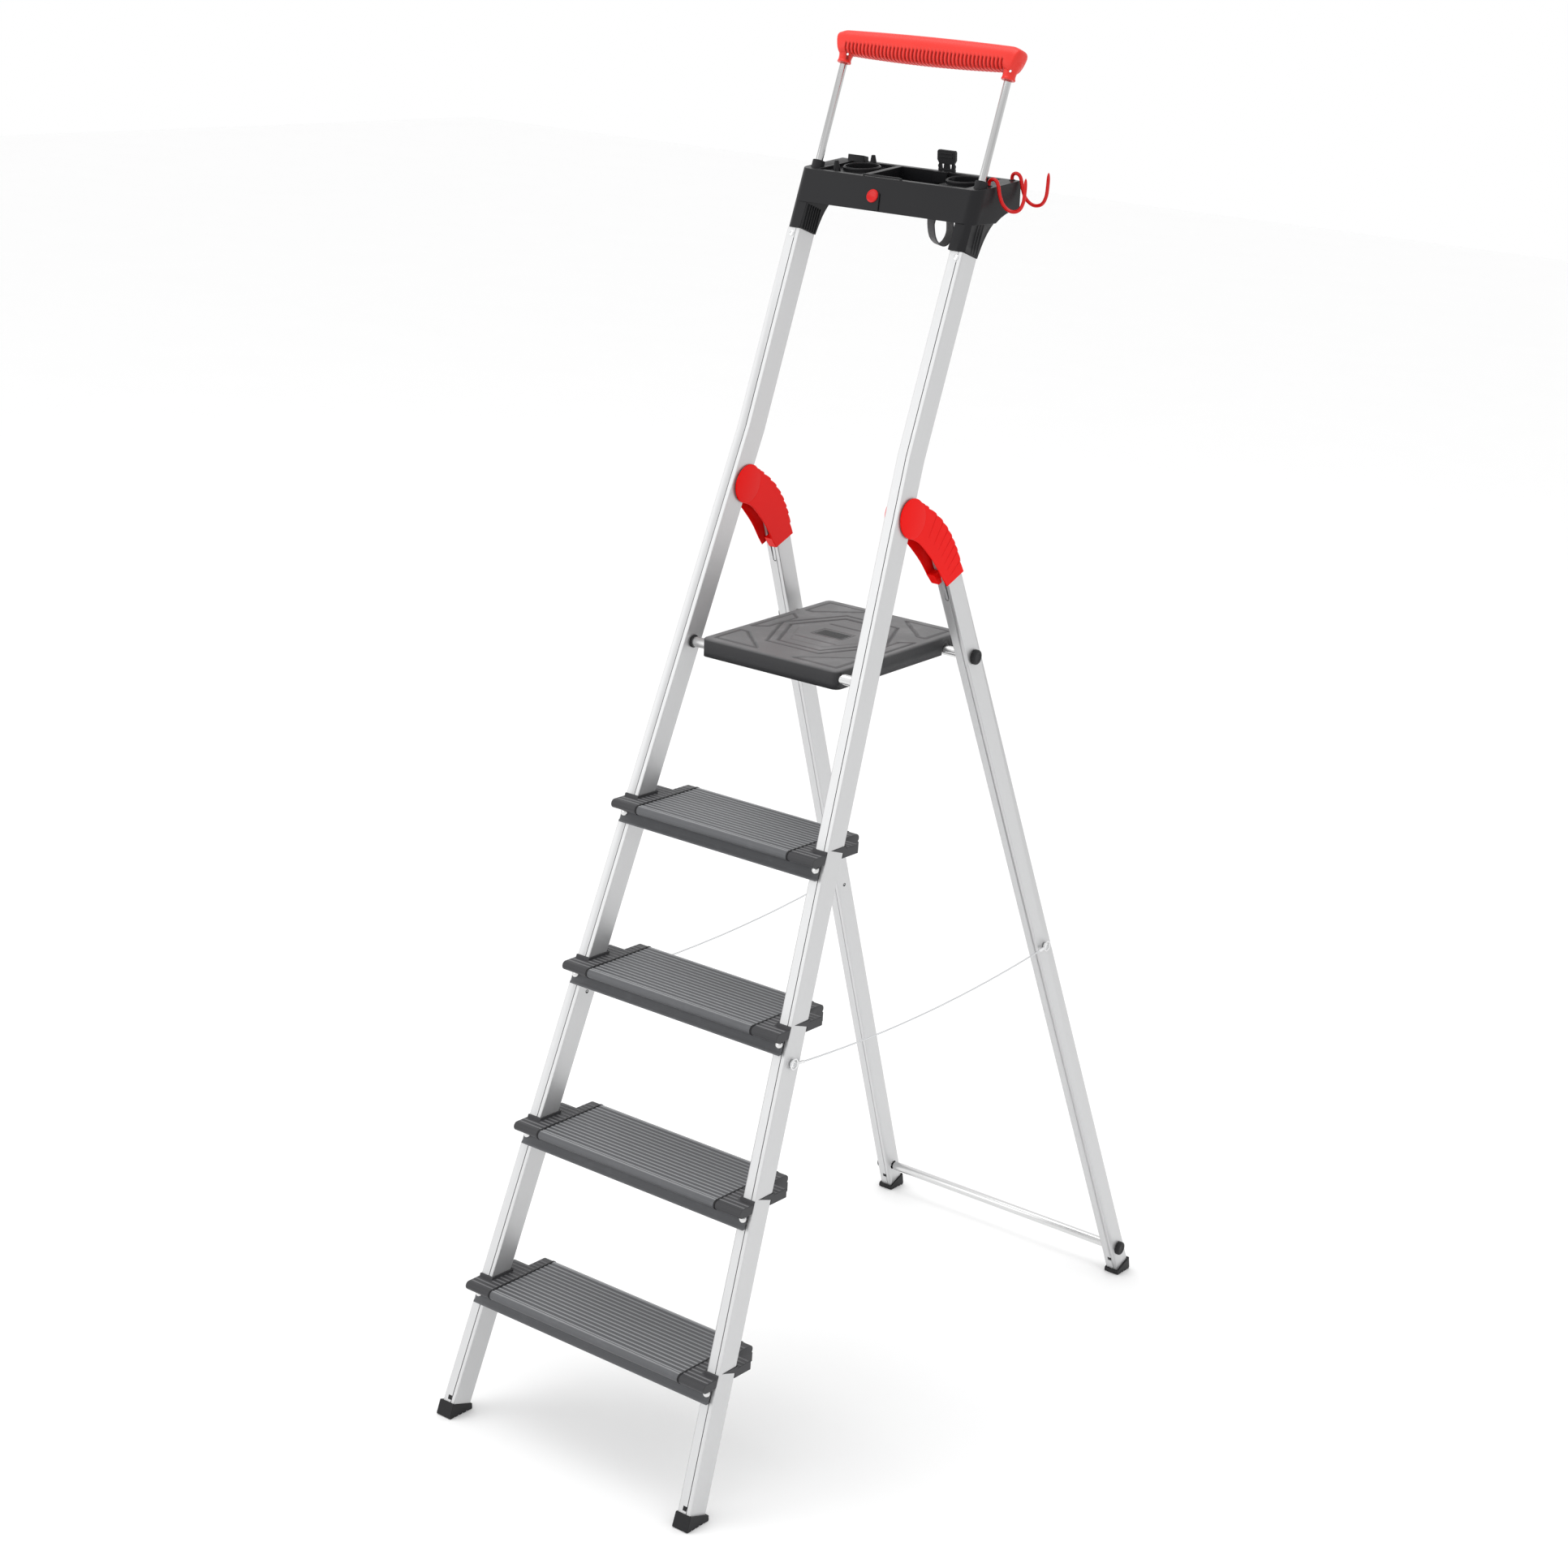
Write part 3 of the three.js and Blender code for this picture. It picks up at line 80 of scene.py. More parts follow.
# %% [markdown]
# ## Axes
# A leaning frame is easiest to draw upright. Each function here takes points drawn as
# (x, depth, along) in millimetres and leans them into the shared frame in metres, as whole arrays.
# The platform's front tube tells where the drawing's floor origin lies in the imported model.

# %% Sizes that the axes need
FRONT_LEAN = math.radians(18.33)
REAR_LEAN = math.radians(23.38)
TRAY_TILT = math.radians(5.7)
PLATFORM_TILT = math.radians(1.8)
SPREAD = 1002.5
STILE_WIDTH, STILE_DEPTH = 20, 33.3
LEG_WIDTH, LEG_DEPTH = 18.5, 28.6
FRONT_HALF, TOP_HALF, BEND_ALONG = 214, 137.5, 1362
REAR_HALF, REAR_TAPER = 219.4, 0.058
HINGE_ALONG, HINGE_DEPTH = 1289, 25.7
TUBE_HEIGHT = 1015.5
TRAY_OUT, TRAY_TOP = 3, 1700

tube_low, tube_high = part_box("platform_tube")
tube_y = (tube_low.y + tube_high.y) / 2 / MM
tube_from_origin = TUBE_HEIGHT * math.tan(FRONT_LEAN) + STILE_DEPTH / 2 / math.cos(FRONT_LEAN)
ORIGIN_Y = tube_y - tube_from_origin
print("origin of the drawing at y", round(ORIGIN_Y, 2), "mm")


def turned_about_x(points, angle, y, z):
    """(x, v, w) to the frame: v and w turn by the angle about X and move to (y, z), mm to m."""
    x, v, w = np.moveaxis(np.asarray(points, float), -1, 0)
    s, c = math.sin(angle), math.cos(angle)
    return np.stack([x, y + v * c - w * s, z + v * s + w * c], -1) * MM


def on_floor(points):
    """(x, y, z) from the drawing's origin."""
    return turned_about_x(points, 0, ORIGIN_Y, 0)


def in_front(points):
    """(x, depth, along) of the front frame: along leans back towards +Y as it rises."""
    return turned_about_x(points, -FRONT_LEAN, ORIGIN_Y, 0)


def in_rear(points):
    """(x, depth, along) of the rear frame: along leans forward as it rises."""
    return turned_about_x(points, REAR_LEAN, ORIGIN_Y + SPREAD, 0)


def on_tray(points):
    """(x, back, up) from the top of the tray's front wall."""
    _, y, z = in_front([0, -TRAY_OUT, TRAY_TOP]) / MM
    return turned_about_x(points, TRAY_TILT, y, z)


def on_platform(points):
    """(x, back, up) from the axis of the platform's front tube."""
    return turned_about_x(points, PLATFORM_TILT, tube_y, TUBE_HEIGHT)


def front_half(along):
    """Half the width over the stiles: it narrows evenly up to the bend, then stays."""
    return FRONT_HALF - (FRONT_HALF - TOP_HALF) / BEND_ALONG * np.minimum(along, BEND_ALONG)


def rear_half(along):
    """Half the width over the rear legs, which narrows evenly."""
    return REAR_HALF - REAR_TAPER * np.asarray(along, float)


def face_y(z):
    """Where the stiles' front faces lie at a height."""
    return z * math.tan(FRONT_LEAN)


hinge_y, hinge_z = (
    (in_front([0, HINGE_DEPTH, HINGE_ALONG]) / MM)[1:] - [ORIGIN_Y + SPREAD, 0]
)
HINGE_REAR_DEPTH = hinge_y * math.cos(REAR_LEAN) + hinge_z * math.sin(REAR_LEAN)
HINGE_REAR_ALONG = hinge_z * math.cos(REAR_LEAN) - hinge_y * math.sin(REAR_LEAN)
SIDES = (("left", -1), ("right", 1))

# %% [markdown]
# ## Camera
# A long lens about four metres away and two metres up, looking down from the ladder's right, with a
# slight roll. A long lens keeps the leaning members close to parallel.

# %% Camera
AZIMUTH, ELEVATION, ROLL = math.radians(37.045), math.radians(17.077), 0.06005
CAMERA_PLACE, LENS = (2237.2, -2572.5, 1984.8), 68.54
camera = bpy.data.objects.new("camera", bpy.data.cameras.new("camera"))
camera.data.lens = LENS
camera.data.sensor_width = 36
camera.data.clip_end = 60
back = Vector(
    (
        math.sin(AZIMUTH) * math.cos(ELEVATION),
        -math.cos(AZIMUTH) * math.cos(ELEVATION),
        math.sin(ELEVATION),
    )
)
level_right = back.cross(Vector((0, 0, 1))).normalized() * -1
level_up = back.cross(level_right)
right = level_right * math.cos(ROLL) + level_up * math.sin(ROLL)
up = level_up * math.cos(ROLL) - level_right * math.sin(ROLL)
place = Matrix((right, up, back)).transposed().to_4x4()
place.translation = Vector(on_floor(CAMERA_PLACE))
camera.matrix_world = place
bpy.context.scene.collection.objects.link(camera)
bpy.context.scene.camera = camera
bpy.context.scene.view_settings.view_transform = "Standard"
print("camera at", [round(v, 3) for v in place.translation])

# %% [markdown]
# ## Surfaces
# Every new piece is one of three surfaces. A carried section is a closed profile moved along a
# path. A turned profile is a curve spun about an axis. A grid is a height or a shape that depends
# on two numbers. Numpy works each out as whole arrays, and the mesh gets them in one call.

# %% Grids and faces
TURN = 2 * math.pi


def grid_faces(rows, columns, wrap=True):
    """Four-sided faces between neighbouring points of a grid; wrap joins its last column to its first."""
    i, j = np.meshgrid(
        np.arange(rows - 1), np.arange(columns if wrap else columns - 1), indexing="ij"
    )
    here, beside = i * columns + j, i * columns + (j + 1) % columns
    return np.stack([here, beside, beside + columns, here + columns], -1).reshape(-1, 4).tolist()


def closed(rings):
    """A closed shell from a grid of rings: each ring joins the next, and one face closes each end."""
    rows, columns = rings.shape[:2]
    ends = [list(range(columns))[::-1], list(range((rows - 1) * columns, rows * columns))]
    return rings.reshape(-1, 3), grid_faces(rows, columns) + ends


# %% Carried sections
def carried(section, path, across, sizes=1.0):
    """A closed section (u, v) carried along a path in one plane.

    Point = path + size * (u * across + v * (tangent x across)).
    """
    path = np.asarray(path, float)
    section = np.asarray(section, float)
    across = np.asarray(across, float) / np.linalg.norm(across)
    tangent = np.gradient(path, axis=0)
    tangent /= np.linalg.norm(tangent, axis=1, keepdims=True)
    other = np.cross(tangent, across)
    size = np.broadcast_to(np.reshape(sizes, (-1, 1)), (len(path), 1))
    u, v = section[None, :, 0] * size, section[None, :, 1] * size
    return closed(path[:, None] + u[..., None] * across + v[..., None] * other[:, None])


def circle(radius, sides=32):
    """A circle as a closed section."""
    turn = np.arange(sides) * TURN / sides
    return np.stack([radius * np.cos(turn), radius * np.sin(turn)], -1)


def bulge(wave, power):
    """A sine or cosine to a power with its sign kept: below one, it flattens an oval's sides."""
    return np.sign(wave) * np.abs(wave) ** power


def ellipse(half_u, half_v, power=1.0, sides=32):
    """An oval as a closed section, flat-sided when the power is below one."""
    turn = np.arange(sides) * TURN / sides
    return np.stack([half_u * bulge(np.cos(turn), power), half_v * bulge(np.sin(turn), power)], -1)


# %% Turned profiles, slabs and curves
def turned(profile, start, axis, sides=40):
    """A profile of (distance along the axis, radius) spun about the axis; radius zero closes it."""
    profile = np.asarray(profile, float)
    start, axis = np.asarray(start, float), np.asarray(axis, float)
    axis = axis / np.linalg.norm(axis)
    helper = np.array([0, 0, 1.0]) if abs(axis[2]) < 0.9 else np.array([1.0, 0, 0])
    one = np.cross(axis, helper)
    one /= np.linalg.norm(one)
    two = np.cross(axis, one)
    turn = np.arange(sides) * TURN / sides
    ring = np.cos(turn)[:, None] * one + np.sin(turn)[:, None] * two
    points = start + profile[:, 0, None, None] * axis + profile[:, 1, None, None] * ring
    return points.reshape(-1, 3), grid_faces(len(profile), sides)


def rod_profile(low, high, radius, edge=0.6):
    """Profile of a round bar whose ends are rounded."""
    return [
        (low, 0), (low, radius - edge), (low + 0.3 * edge, radius - 0.3 * edge), (low + edge, radius),
        (high - edge, radius), (high - 0.3 * edge, radius - 0.3 * edge), (high, radius - edge), (high, 0),
    ]


def slab(outline, low, high):
    """A flat outline (u, v) given thickness from w = low to w = high, as (u, v, w)."""
    outline = np.asarray(outline, float)
    levels = [np.column_stack([outline, np.full(len(outline), level)]) for level in (low, high)]
    return closed(np.stack(levels))


def smooth_curve(points, count):
    """A curve through the points: each coordinate is a cubic between neighbours (Catmull-Rom)."""
    p = np.asarray(points, float)
    p = np.vstack([2 * p[0] - p[1], p, 2 * p[-1] - p[-2]])
    t = np.linspace(0, len(p) - 3 - 1e-9, count)
    i = t.astype(int)
    f = (t - i)[:, None]
    a, b, c, d = p[i], p[i + 1], p[i + 2], p[i + 3]
    return 0.5 * (
        2 * b + (c - a) * f + (2 * a - 5 * b + 4 * c - d) * f**2 + (3 * b - a - 3 * c + d) * f**3
    )


def eased(value, low, high):
    """Zero below low, one above high, and a smooth step between."""
    t = np.clip((np.asarray(value, float) - low) / (high - low), 0, 1)
    return t * t * (3 - 2 * t)


# %% [markdown]
# ## From points to a piece
# A piece is made of one or more closed shells. Its doubles are merged, its faces turned outwards,
# and a Bevel modifier rounds its edges, because light catches a rounded edge and a sharp one looks
# drawn. The piece then rides on its CAD body and stands for its CAD nodes.

# %% Pieces
made = []


def merged(work):
    """Merges doubles and turns every face outwards."""
    bmesh.ops.remove_doubles(work, verts=work.verts, dist=2e-6)
    bmesh.ops.recalc_face_normals(work, faces=work.faces)


def finished(obj, body, finish, slot, stands_for=(), bevel=0.0, segments=2, crease=35):
    """Rounds a mesh's edges, shades it smooth, gives it its finish and hangs it on its body."""
    mesh = obj.data
    mesh.shade_smooth()
    mesh.set_sharp_from_angle(angle=math.radians(crease))
    if bevel:
        edge = obj.modifiers.new("rounded", "BEVEL")
        edge.width = bevel * MM
        edge.segments = segments
        edge.limit_method = "WEIGHT" if "bevel_weight_edge" in mesh.attributes else "ANGLE"
        edge.angle_limit = math.radians(38)
        edge.use_clamp_overlap = False
        edge.harden_normals = True
    mesh.materials.clear()
    mesh.materials.append(finish)
    if body:
        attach(obj, body)
    if stands_for:
        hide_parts(*stands_for)
    made.append(obj.name)
    return obj


def piece(name, shells, to_frame, body, finish, slot, stands_for=(), **edges):
    """One object from closed shells of (points, faces), drawn in one frame's axes."""
    mesh = bpy.data.meshes.new(name)
    points, faces = [], []
    for shell_points, shell_faces in shells:
        base = len(points)
        points.extend(to_frame(shell_points).tolist())
        faces.extend([[base + k for k in face] for face in shell_faces])
    mesh.from_pydata(points, [], faces)
    work = bmesh.new()
    work.from_mesh(mesh)
    merged(work)
    work.to_mesh(mesh)
    work.free()
    obj = bpy.data.objects.new(name, mesh)
    bpy.context.scene.collection.objects.link(obj)
    return finished(obj, body, finish, slot, stands_for, **edges)


def flat_width(face, edge):
    """How wide a long face is, square to one of its edges."""
    return face.calc_area() / max(edge.calc_length(), 1e-9)


def softened(node, finish, slot, bevel, long_edges=0.0, **edges):
    """A copy of a CAD node with its triangles joined into flat faces and its edges rounded.

    With long_edges, only edges longer than that (mm), between two wide faces, are rounded.
    """
    source = frame["nodes"][node]
    mesh = source.data.copy()
    mesh.name = node + "_finished"
    work = bmesh.new()
    work.from_mesh(mesh)
    merged(work)
    bmesh.ops.dissolve_limit(
        work, angle_limit=math.radians(0.6), verts=work.verts[:], edges=work.edges[:]
    )
    if long_edges:
        weight = work.edges.layers.float.new("bevel_weight_edge")
        for e in work.edges:
            if len(e.link_faces) == 2 and e.calc_length() > long_edges * MM and e.is_convex:
                narrow = min(flat_width(f, e) for f in e.link_faces)
                if narrow > 2.5 * MM and e.calc_face_angle(0) > math.radians(50):
                    e[weight] = 1
    work.to_mesh(mesh)
    work.free()
    obj = bpy.data.objects.new(node + "_finished", mesh)
    bpy.context.scene.collection.objects.link(obj)
    return finished(obj, source["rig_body"], finish, slot, [node], bevel=bevel, **edges)


# %% Numbers on a piece
def places_of(obj):
    """Every point of a piece's mesh in metres, as one array."""
    flat = np.empty(len(obj.data.vertices) * 3)
    obj.data.vertices.foreach_get("co", flat)
    return flat.reshape(-1, 3)


def marked(obj, name, numbers):
    """Writes one number at every point, which a finish can read."""
    obj.data.attributes.new(name, "FLOAT", "POINT").data.foreach_set("value", numbers)


def nearest_step(places, path):
    """Which point of a path lies nearest to each place."""
    return np.argmin(((places[:, None] - path[None]) ** 2).sum(-1), axis=1)


def mapped(obj, path, nearest, across):
    """Writes a UV map: U is the path's length up to its nearest point in metres, V is as given."""
    steps = np.concatenate([[0], np.cumsum(np.linalg.norm(np.diff(path, axis=0), axis=1))])
    corner = np.empty(len(obj.data.loops), int)
    obj.data.loops.foreach_get("vertex_index", corner)
    uv = np.stack([steps[nearest], across], -1)[corner]
    obj.data.uv_layers.new(name="along").data.foreach_set("uv", uv.ravel())


def tell(what):
    """Prints what a cell made and how many pieces there are by then."""
    print(f"{what} made, {len(made)} pieces so far")


# %% [markdown]
# ## Shader maths
# A finish is a small graph of nodes. One class wraps a socket, so that `1 - mask` or
# `grain * 0.04 + 0.4` adds the Math nodes it needs; another holds one material and adds any other
# node from its type, its settings and its inputs. Numbers that never change stay plain numbers.

# %% Field
class Field:
    """A number that varies over a surface."""

    def __init__(self, finish, socket):
        self.finish, self.socket = finish, socket

    def math(self, operation, *values):
        node = self.finish.node(
            "ShaderNodeMath", {"operation": operation}, dict(enumerate(values))
        )
        return Field(self.finish, node.outputs[0])

    def __add__(self, other):
        return self.math("ADD", self, other)

    def __radd__(self, other):
        return self.math("ADD", other, self)

    def __sub__(self, other):
        return self.math("SUBTRACT", self, other)

    def __rsub__(self, other):
        return self.math("SUBTRACT", other, self)

    def __mul__(self, other):
        return self.math("MULTIPLY", self, other)

    def __rmul__(self, other):
        return self.math("MULTIPLY", other, self)

    def sine(self):
        """The sine of the field, from -1 to 1."""
        return self.math("SINE", self)

    def between(self, low, high):
        """Zero at low, one at high, kept in that range."""
        node = self.finish.node(
            "ShaderNodeMapRange",
            {"interpolation_type": "SMOOTHSTEP"},
            {"Value": self, "From Min": low, "From Max": high},
        )
        return Field(self.finish, node.outputs["Result"])


# %% Finish
class Finish:
    """One material, built round a Principled shader."""

    def __init__(self, name, **constants):
        self.material = bpy.data.materials.new(name)
        self.material.use_nodes = True
        self.tree = self.material.node_tree
        self.tree.nodes.clear()
        self.shader = self.node("ShaderNodeBsdfPrincipled", {}, constants)
        self.node("ShaderNodeOutputMaterial", {}, {"Surface": self.shader.outputs["BSDF"]})

    def node(self, kind, settings=None, inputs=None):
        """Adds a node: its settings first, then the values or links of its sockets."""
        node = self.tree.nodes.new(kind)
        for key, value in (settings or {}).items():
            setattr(node, key, value)
        for key, value in (inputs or {}).items():
            self.put(node.inputs[key], value)
        return node

    def put(self, socket, value):
        """Links a field or a socket, or sets a constant."""
        value = value.socket if isinstance(value, Field) else value
        if isinstance(value, bpy.types.NodeSocket):
            self.tree.links.new(value, socket)
        elif socket.type == "RGBA" and len(value) == 3:
            socket.default_value = (*value, 1)
        else:
            socket.default_value = value

    def drawing(self, stretch=(1, 1, 1), lean=0.0):
        """Coordinates on the piece, turned upright with its frame and then stretched per axis."""
        place = self.node("ShaderNodeTexCoord").outputs["Object"]
        for kind, change in (("TEXTURE", {"Rotation": (lean, 0, 0)}), ("POINT", {"Scale": stretch})):
            mapping = self.node("ShaderNodeMapping", {"vector_type": kind}, {"Vector": place, **change})
            place = mapping.outputs[0]
        return place

    def noise(self, scale, detail=3.0, roughness=0.5, stretch=(1, 1, 1), lean=0.0):
        """Cloudy noise, about 0 to 1, with features of 1/scale metres."""
        place = self.drawing(stretch, lean)
        inputs = {"Vector": place, "Scale": scale, "Detail": detail, "Roughness": roughness}
        return Field(self, self.node("ShaderNodeTexNoise", {}, inputs).outputs["Fac"])

    def cells(self, scale):
        """Distance to the middles of small cells, for a leather-like grain."""
        inputs = {"Vector": self.drawing(), "Scale": scale}
        node = self.node("ShaderNodeTexVoronoi", {"feature": "F1"}, inputs)
        return Field(self, node.outputs["Distance"])

    def attribute(self, name):
        """The number that the piece carries at each point under a name."""
        return Field(self, self.node("ShaderNodeAttribute", {"attribute_name": name}).outputs["Fac"])

    def along_and_across(self):
        """The piece's own UV map as two fields: metres along it, and how far across or round it."""
        uv = self.node("ShaderNodeTexCoord").outputs["UV"]
        parts = self.node("ShaderNodeSeparateXYZ", {}, {"Vector": uv}).outputs
        return Field(self, parts["X"]), Field(self, parts["Y"])

    def colour(self, mask, low, high):
        """A colour between two, by a field."""
        inputs = {"Factor": mask, 6: low, 7: high}
        return self.node("ShaderNodeMix", {"data_type": "RGBA"}, inputs).outputs[2]

    def bump(self, height, depth_mm):
        """Makes the surface uneven by a field, to a depth in millimetres."""
        node = self.node("ShaderNodeBump", {}, {"Height": height, "Distance": depth_mm * MM})
        self.put(self.shader.inputs["Normal"], node.outputs["Normal"])

    def set(self, **inputs):
        """Feeds fields or sockets into the shader; a name's underscores stand for spaces."""
        for key, value in inputs.items():
            self.put(self.shader.inputs[key.replace("_", " ")], value)


def linear(red, green, blue):
    """A display colour 0 to 255 as the linear light that a shader takes."""
    share = np.array([red, green, blue]) / 255
    light = np.where(share > 0.04045, ((share + 0.055) / 1.055) ** 2.4, share / 12.92)
    return tuple(float(v) for v in light)


# %% [markdown]
# ## Finishes
# **Anodised aluminium** is not a mirror: the etched oxide skin scatters light, so it is metallic
# with a middling roughness. The extrusion leaves hair-fine lines along each member, made here by
# noise stretched along it, and handling leaves faint cloudy patches in its gloss.

# %% Aluminium, tube and steel
def anodised(name, lean, light, dark, rough):
    """Satin extruded aluminium with lines along a leaning member."""
    finish = Finish(name, Metallic=0.72)
    lines = finish.noise(1.0, 4, 0.6, (1500, 1500, 5), lean)
    clouds = finish.noise(14, 3, 0.55, (1, 1, 0.4), lean)
    wear = finish.noise(220, 2, 0.5, (1, 1, 0.2), lean).between(0.66, 0.8)
    finish.set(
        Base_Color=finish.colour(lines * 0.6 + clouds * 0.4, dark, light),
        Roughness=rough + lines * 0.08 + clouds * 0.07 - wear * 0.08,
    )
    finish.bump(lines, 0.012)
    return finish.material


PALE, PALE_DEEP = (0.66, 0.662, 0.665), (0.56, 0.563, 0.568)
stile_finish = anodised("satin_aluminium_front", -FRONT_LEAN, PALE, PALE_DEEP, 0.36)
leg_finish = anodised("satin_aluminium_rear", REAR_LEAN, PALE, PALE_DEEP, 0.36)


def drawn_tube(name, rough, lean=0.0, stretch=(4, 900, 900), deep=0.6, pale=0.78):
    """Bright drawn tube: fine lines along it and a clear gloss."""
    finish = Finish(name, Metallic=0.95)
    lines = finish.noise(1.0, 3, 0.6, stretch, lean)
    clouds = finish.noise(25, 2)
    finish.set(
        Base_Color=finish.colour(lines, (deep,) * 3, (pale,) * 3),
        Roughness=rough + lines * 0.06 + clouds * 0.06,
    )
    finish.bump(lines, 0.006)
    return finish.material


tube_finish = drawn_tube("bright_tube", 0.2)
rod_finish = drawn_tube("polished_rod", 0.08, -FRONT_LEAN, (260, 260, 3), 0.3, 0.72)


def plated(name, rough):
    """Zinc-plated steel: pale, glossy, with small spangles."""
    finish = Finish(name, Metallic=0.9)
    spangle = finish.cells(900)
    finish.set(
        Base_Color=finish.colour(spangle, (0.7, 0.71, 0.72), (0.9, 0.9, 0.9)),
        Roughness=rough + finish.noise(300) * 0.12,
    )
    finish.bump(finish.noise(1500, 2), 0.01)
    return finish.material


steel_finish = plated("plated_steel", 0.22)
metals = (stile_finish, leg_finish, tube_finish, rod_finish, steel_finish)
print("metal finishes:", [metal.name for metal in metals])

# %% [markdown]
# ** Grey-anodised treads** are the same extrusion in a dark colour. The tops of the ribs are painted
# lighter, a painted highlight, and they are smoother than the grooves between them.
# A height mask finds the tops: it reads the piece's own attribute, which the tread's grid writes.

# %% Tread metal
def tread_metal():
    """Dark grey aluminium with lines along X and a painted highlight on the rib tops."""
    finish = Finish("dark_anodised_tread", Metallic=0.55)
    lines = finish.noise(1.0, 4, 0.6, (5, 1400, 1400))
    scuffs = finish.noise(60, 4, 0.6, (1, 3, 1)).between(0.5, 0.75)
    ribs = finish.attribute("wear_and_painted_light")
    base = finish.colour(lines * 0.7 + scuffs * 0.3, linear(84, 85, 87), linear(108, 109, 112))
    # Painted highlight: the tops of the ribs are mixed towards a pale grey.
    worn_and_lit = finish.colour(ribs * 0.7, base, linear(196, 197, 199))
    finish.set(Base_Color=worn_and_lit, Roughness=0.48 + lines * 0.06 - ribs * 0.08 + scuffs * 0.05)
    finish.bump(lines, 0.015)
    return finish.material


tread_finish = tread_metal()
print("tread finish:", tread_finish.name)

# %% [markdown]
# **Moulded plastic** carries the texture of its mould: a spark-eroded grain of a few tenths of a
# millimetre. The grain breaks up highlights, and flow and handling leave slow changes of gloss.
# The platform's top has a coarser leather grain, and the red parts are smoother and glossier.

# %% Plastics
def moulded(name, light, dark, rough, grain_scale, grain_depth, coat=0.0, gloss=0.25):
    """Plastic with an eroded grain, slow colour drift and uneven gloss."""
    finish = Finish(
        name, **{"Coat Weight": coat, "Coat Roughness": 0.12, "Specular IOR Level": gloss}
    )
    grain = finish.noise(grain_scale, 3, 0.6)
    drift = finish.noise(9, 3, 0.5)
    # Handling wear here changes only the gloss.
    wear_and_painted_light = finish.noise(45, 4, 0.65).between(0.55, 0.8)
    finish.set(
        Base_Color=finish.colour(drift * 0.7 + grain * 0.3, dark, light),
        Roughness=rough + grain * 0.08 + drift * 0.06 - wear_and_painted_light * 0.07,
    )
    finish.bump(grain, grain_depth)
    return finish.material


black_finish = moulded("black_plastic", linear(34, 34, 36), linear(22, 22, 24), 0.4, 1700, 0.03)
tray_finish = moulded(
    "dark_grey_plastic", linear(32, 32, 34), linear(20, 20, 22), 0.3, 1500, 0.02, gloss=0.2
)
cover_finish = moulded(
    "red_hinge_plastic", (0.86, 0.003, 0.001), (0.76, 0.002, 0.001), 0.33, 1300, 0.012, gloss=0.12
)
# The cover's crease lines use a darker copy of the red plastic: painted shade in the creases.
crease_shade_finish = moulded(
    "red_hinge_crease_shade", (0.62, 0.002, 0.001), (0.5, 0.002, 0.001), 0.45, 1300, 0.012, gloss=0.1
)
cap_finish = moulded("dark_cap_plastic", linear(66, 66, 68), linear(54, 54, 56), 0.36, 1600, 0.02)
# The end caps' ribs use a lighter copy of the cap plastic: a painted highlight on the ribs.
cap_rib_highlight_finish = moulded(
    "painted_highlight_cap_ribs", linear(132, 132, 134), linear(108, 108, 110), 0.38, 900, 0.02
)
hook_finish = moulded(
    "red_dipped_coating", (0.62, 0.003, 0.003), (0.5, 0.002, 0.002), 0.16, 500, 0.01, 0.25, 0.2
)


# %% Grip plastic
def grooved_grip():
    """Soft red plastic with painted shade down in the grooves between its ribs."""
    finish = Finish("soft_red_grip", **{"Specular IOR Level": 0.35})
    groove = finish.attribute("groove")
    drift, grain = finish.noise(9, 3), finish.noise(1400, 3)
    red = finish.colour(drift, (0.7, 0.022, 0.014), (0.78, 0.036, 0.024))
    # Painted shade: the grooves are mixed towards a dark red.
    shade = finish.colour(groove * 0.8, red, (0.16, 0.002, 0.002))
    finish.set(Base_Color=shade, Roughness=0.33 + grain * 0.08 + groove * 0.15)
    finish.bump(grain, 0.01)
    return finish.material


grip_finish = grooved_grip()


# %% Platform plastic
def leather_grain():
    """The platform's plastic: small raised cells; painted shade makes the skirt and the pattern's grooves
    darker than the top.
    """
    finish = Finish("grained_platform_plastic", **{"Specular IOR Level": 0.3})
    cells = finish.cells(420)
    fine = finish.noise(1800, 3)
    drift = finish.noise(6, 3, 0.5)
    feet = finish.noise(24, 4, 0.6).between(0.45, 0.75)
    top = finish.attribute("wear_and_painted_light")
    mottle = drift * 0.5 + feet * 0.3 + cells * 0.2
    worn_and_lit = finish.colour(mottle, linear(88, 88, 89), linear(120, 120, 121))
    # Painted shade: the skirt and the pattern's grooves are mixed towards a dark grey.
    shade = finish.colour(top, linear(42, 42, 44), worn_and_lit)
    finish.set(Base_Color=shade, Roughness=0.4 + cells * 0.08 + fine * 0.06 - feet * 0.05)
    finish.bump(cells * 0.7 + fine * 0.3, 0.09)
    return finish.material


platform_finish = leather_grain()
print("finishes so far:", len(bpy.data.materials))

# %% [markdown]
# **Webbing** is woven: warp ribs along the strap cross weft ribs across it. Two sine waves over the
# strap's own UV map (metres along, metres across), multiplied together, give the weave.
# **Wire rope** uses the same map with slanting strands.

# %% Woven and stranded finishes
WEFT_STEP, WARP_STEP, STRAND_STEP = 0.0016, 0.0013, 0.004


def woven():
    """Black polyester webbing."""
    finish = Finish("black_webbing", **{"Sheen Weight": 0.35, "Sheen Roughness": 0.5})
    along, across = finish.along_and_across()
    weft, warp = (along * (TURN / WEFT_STEP)).sine(), (across * (TURN / WARP_STEP)).sine()
    weave = weft * warp * 0.5 + 0.5
    fuzz = finish.noise(2600, 3)
    finish.set(
        Base_Color=finish.colour(weave * 0.7 + fuzz * 0.3, linear(20, 20, 22), linear(48, 48, 51)),
        Roughness=0.72 + fuzz * 0.15,
    )
    finish.bump(weave, 0.25)
    return finish.material


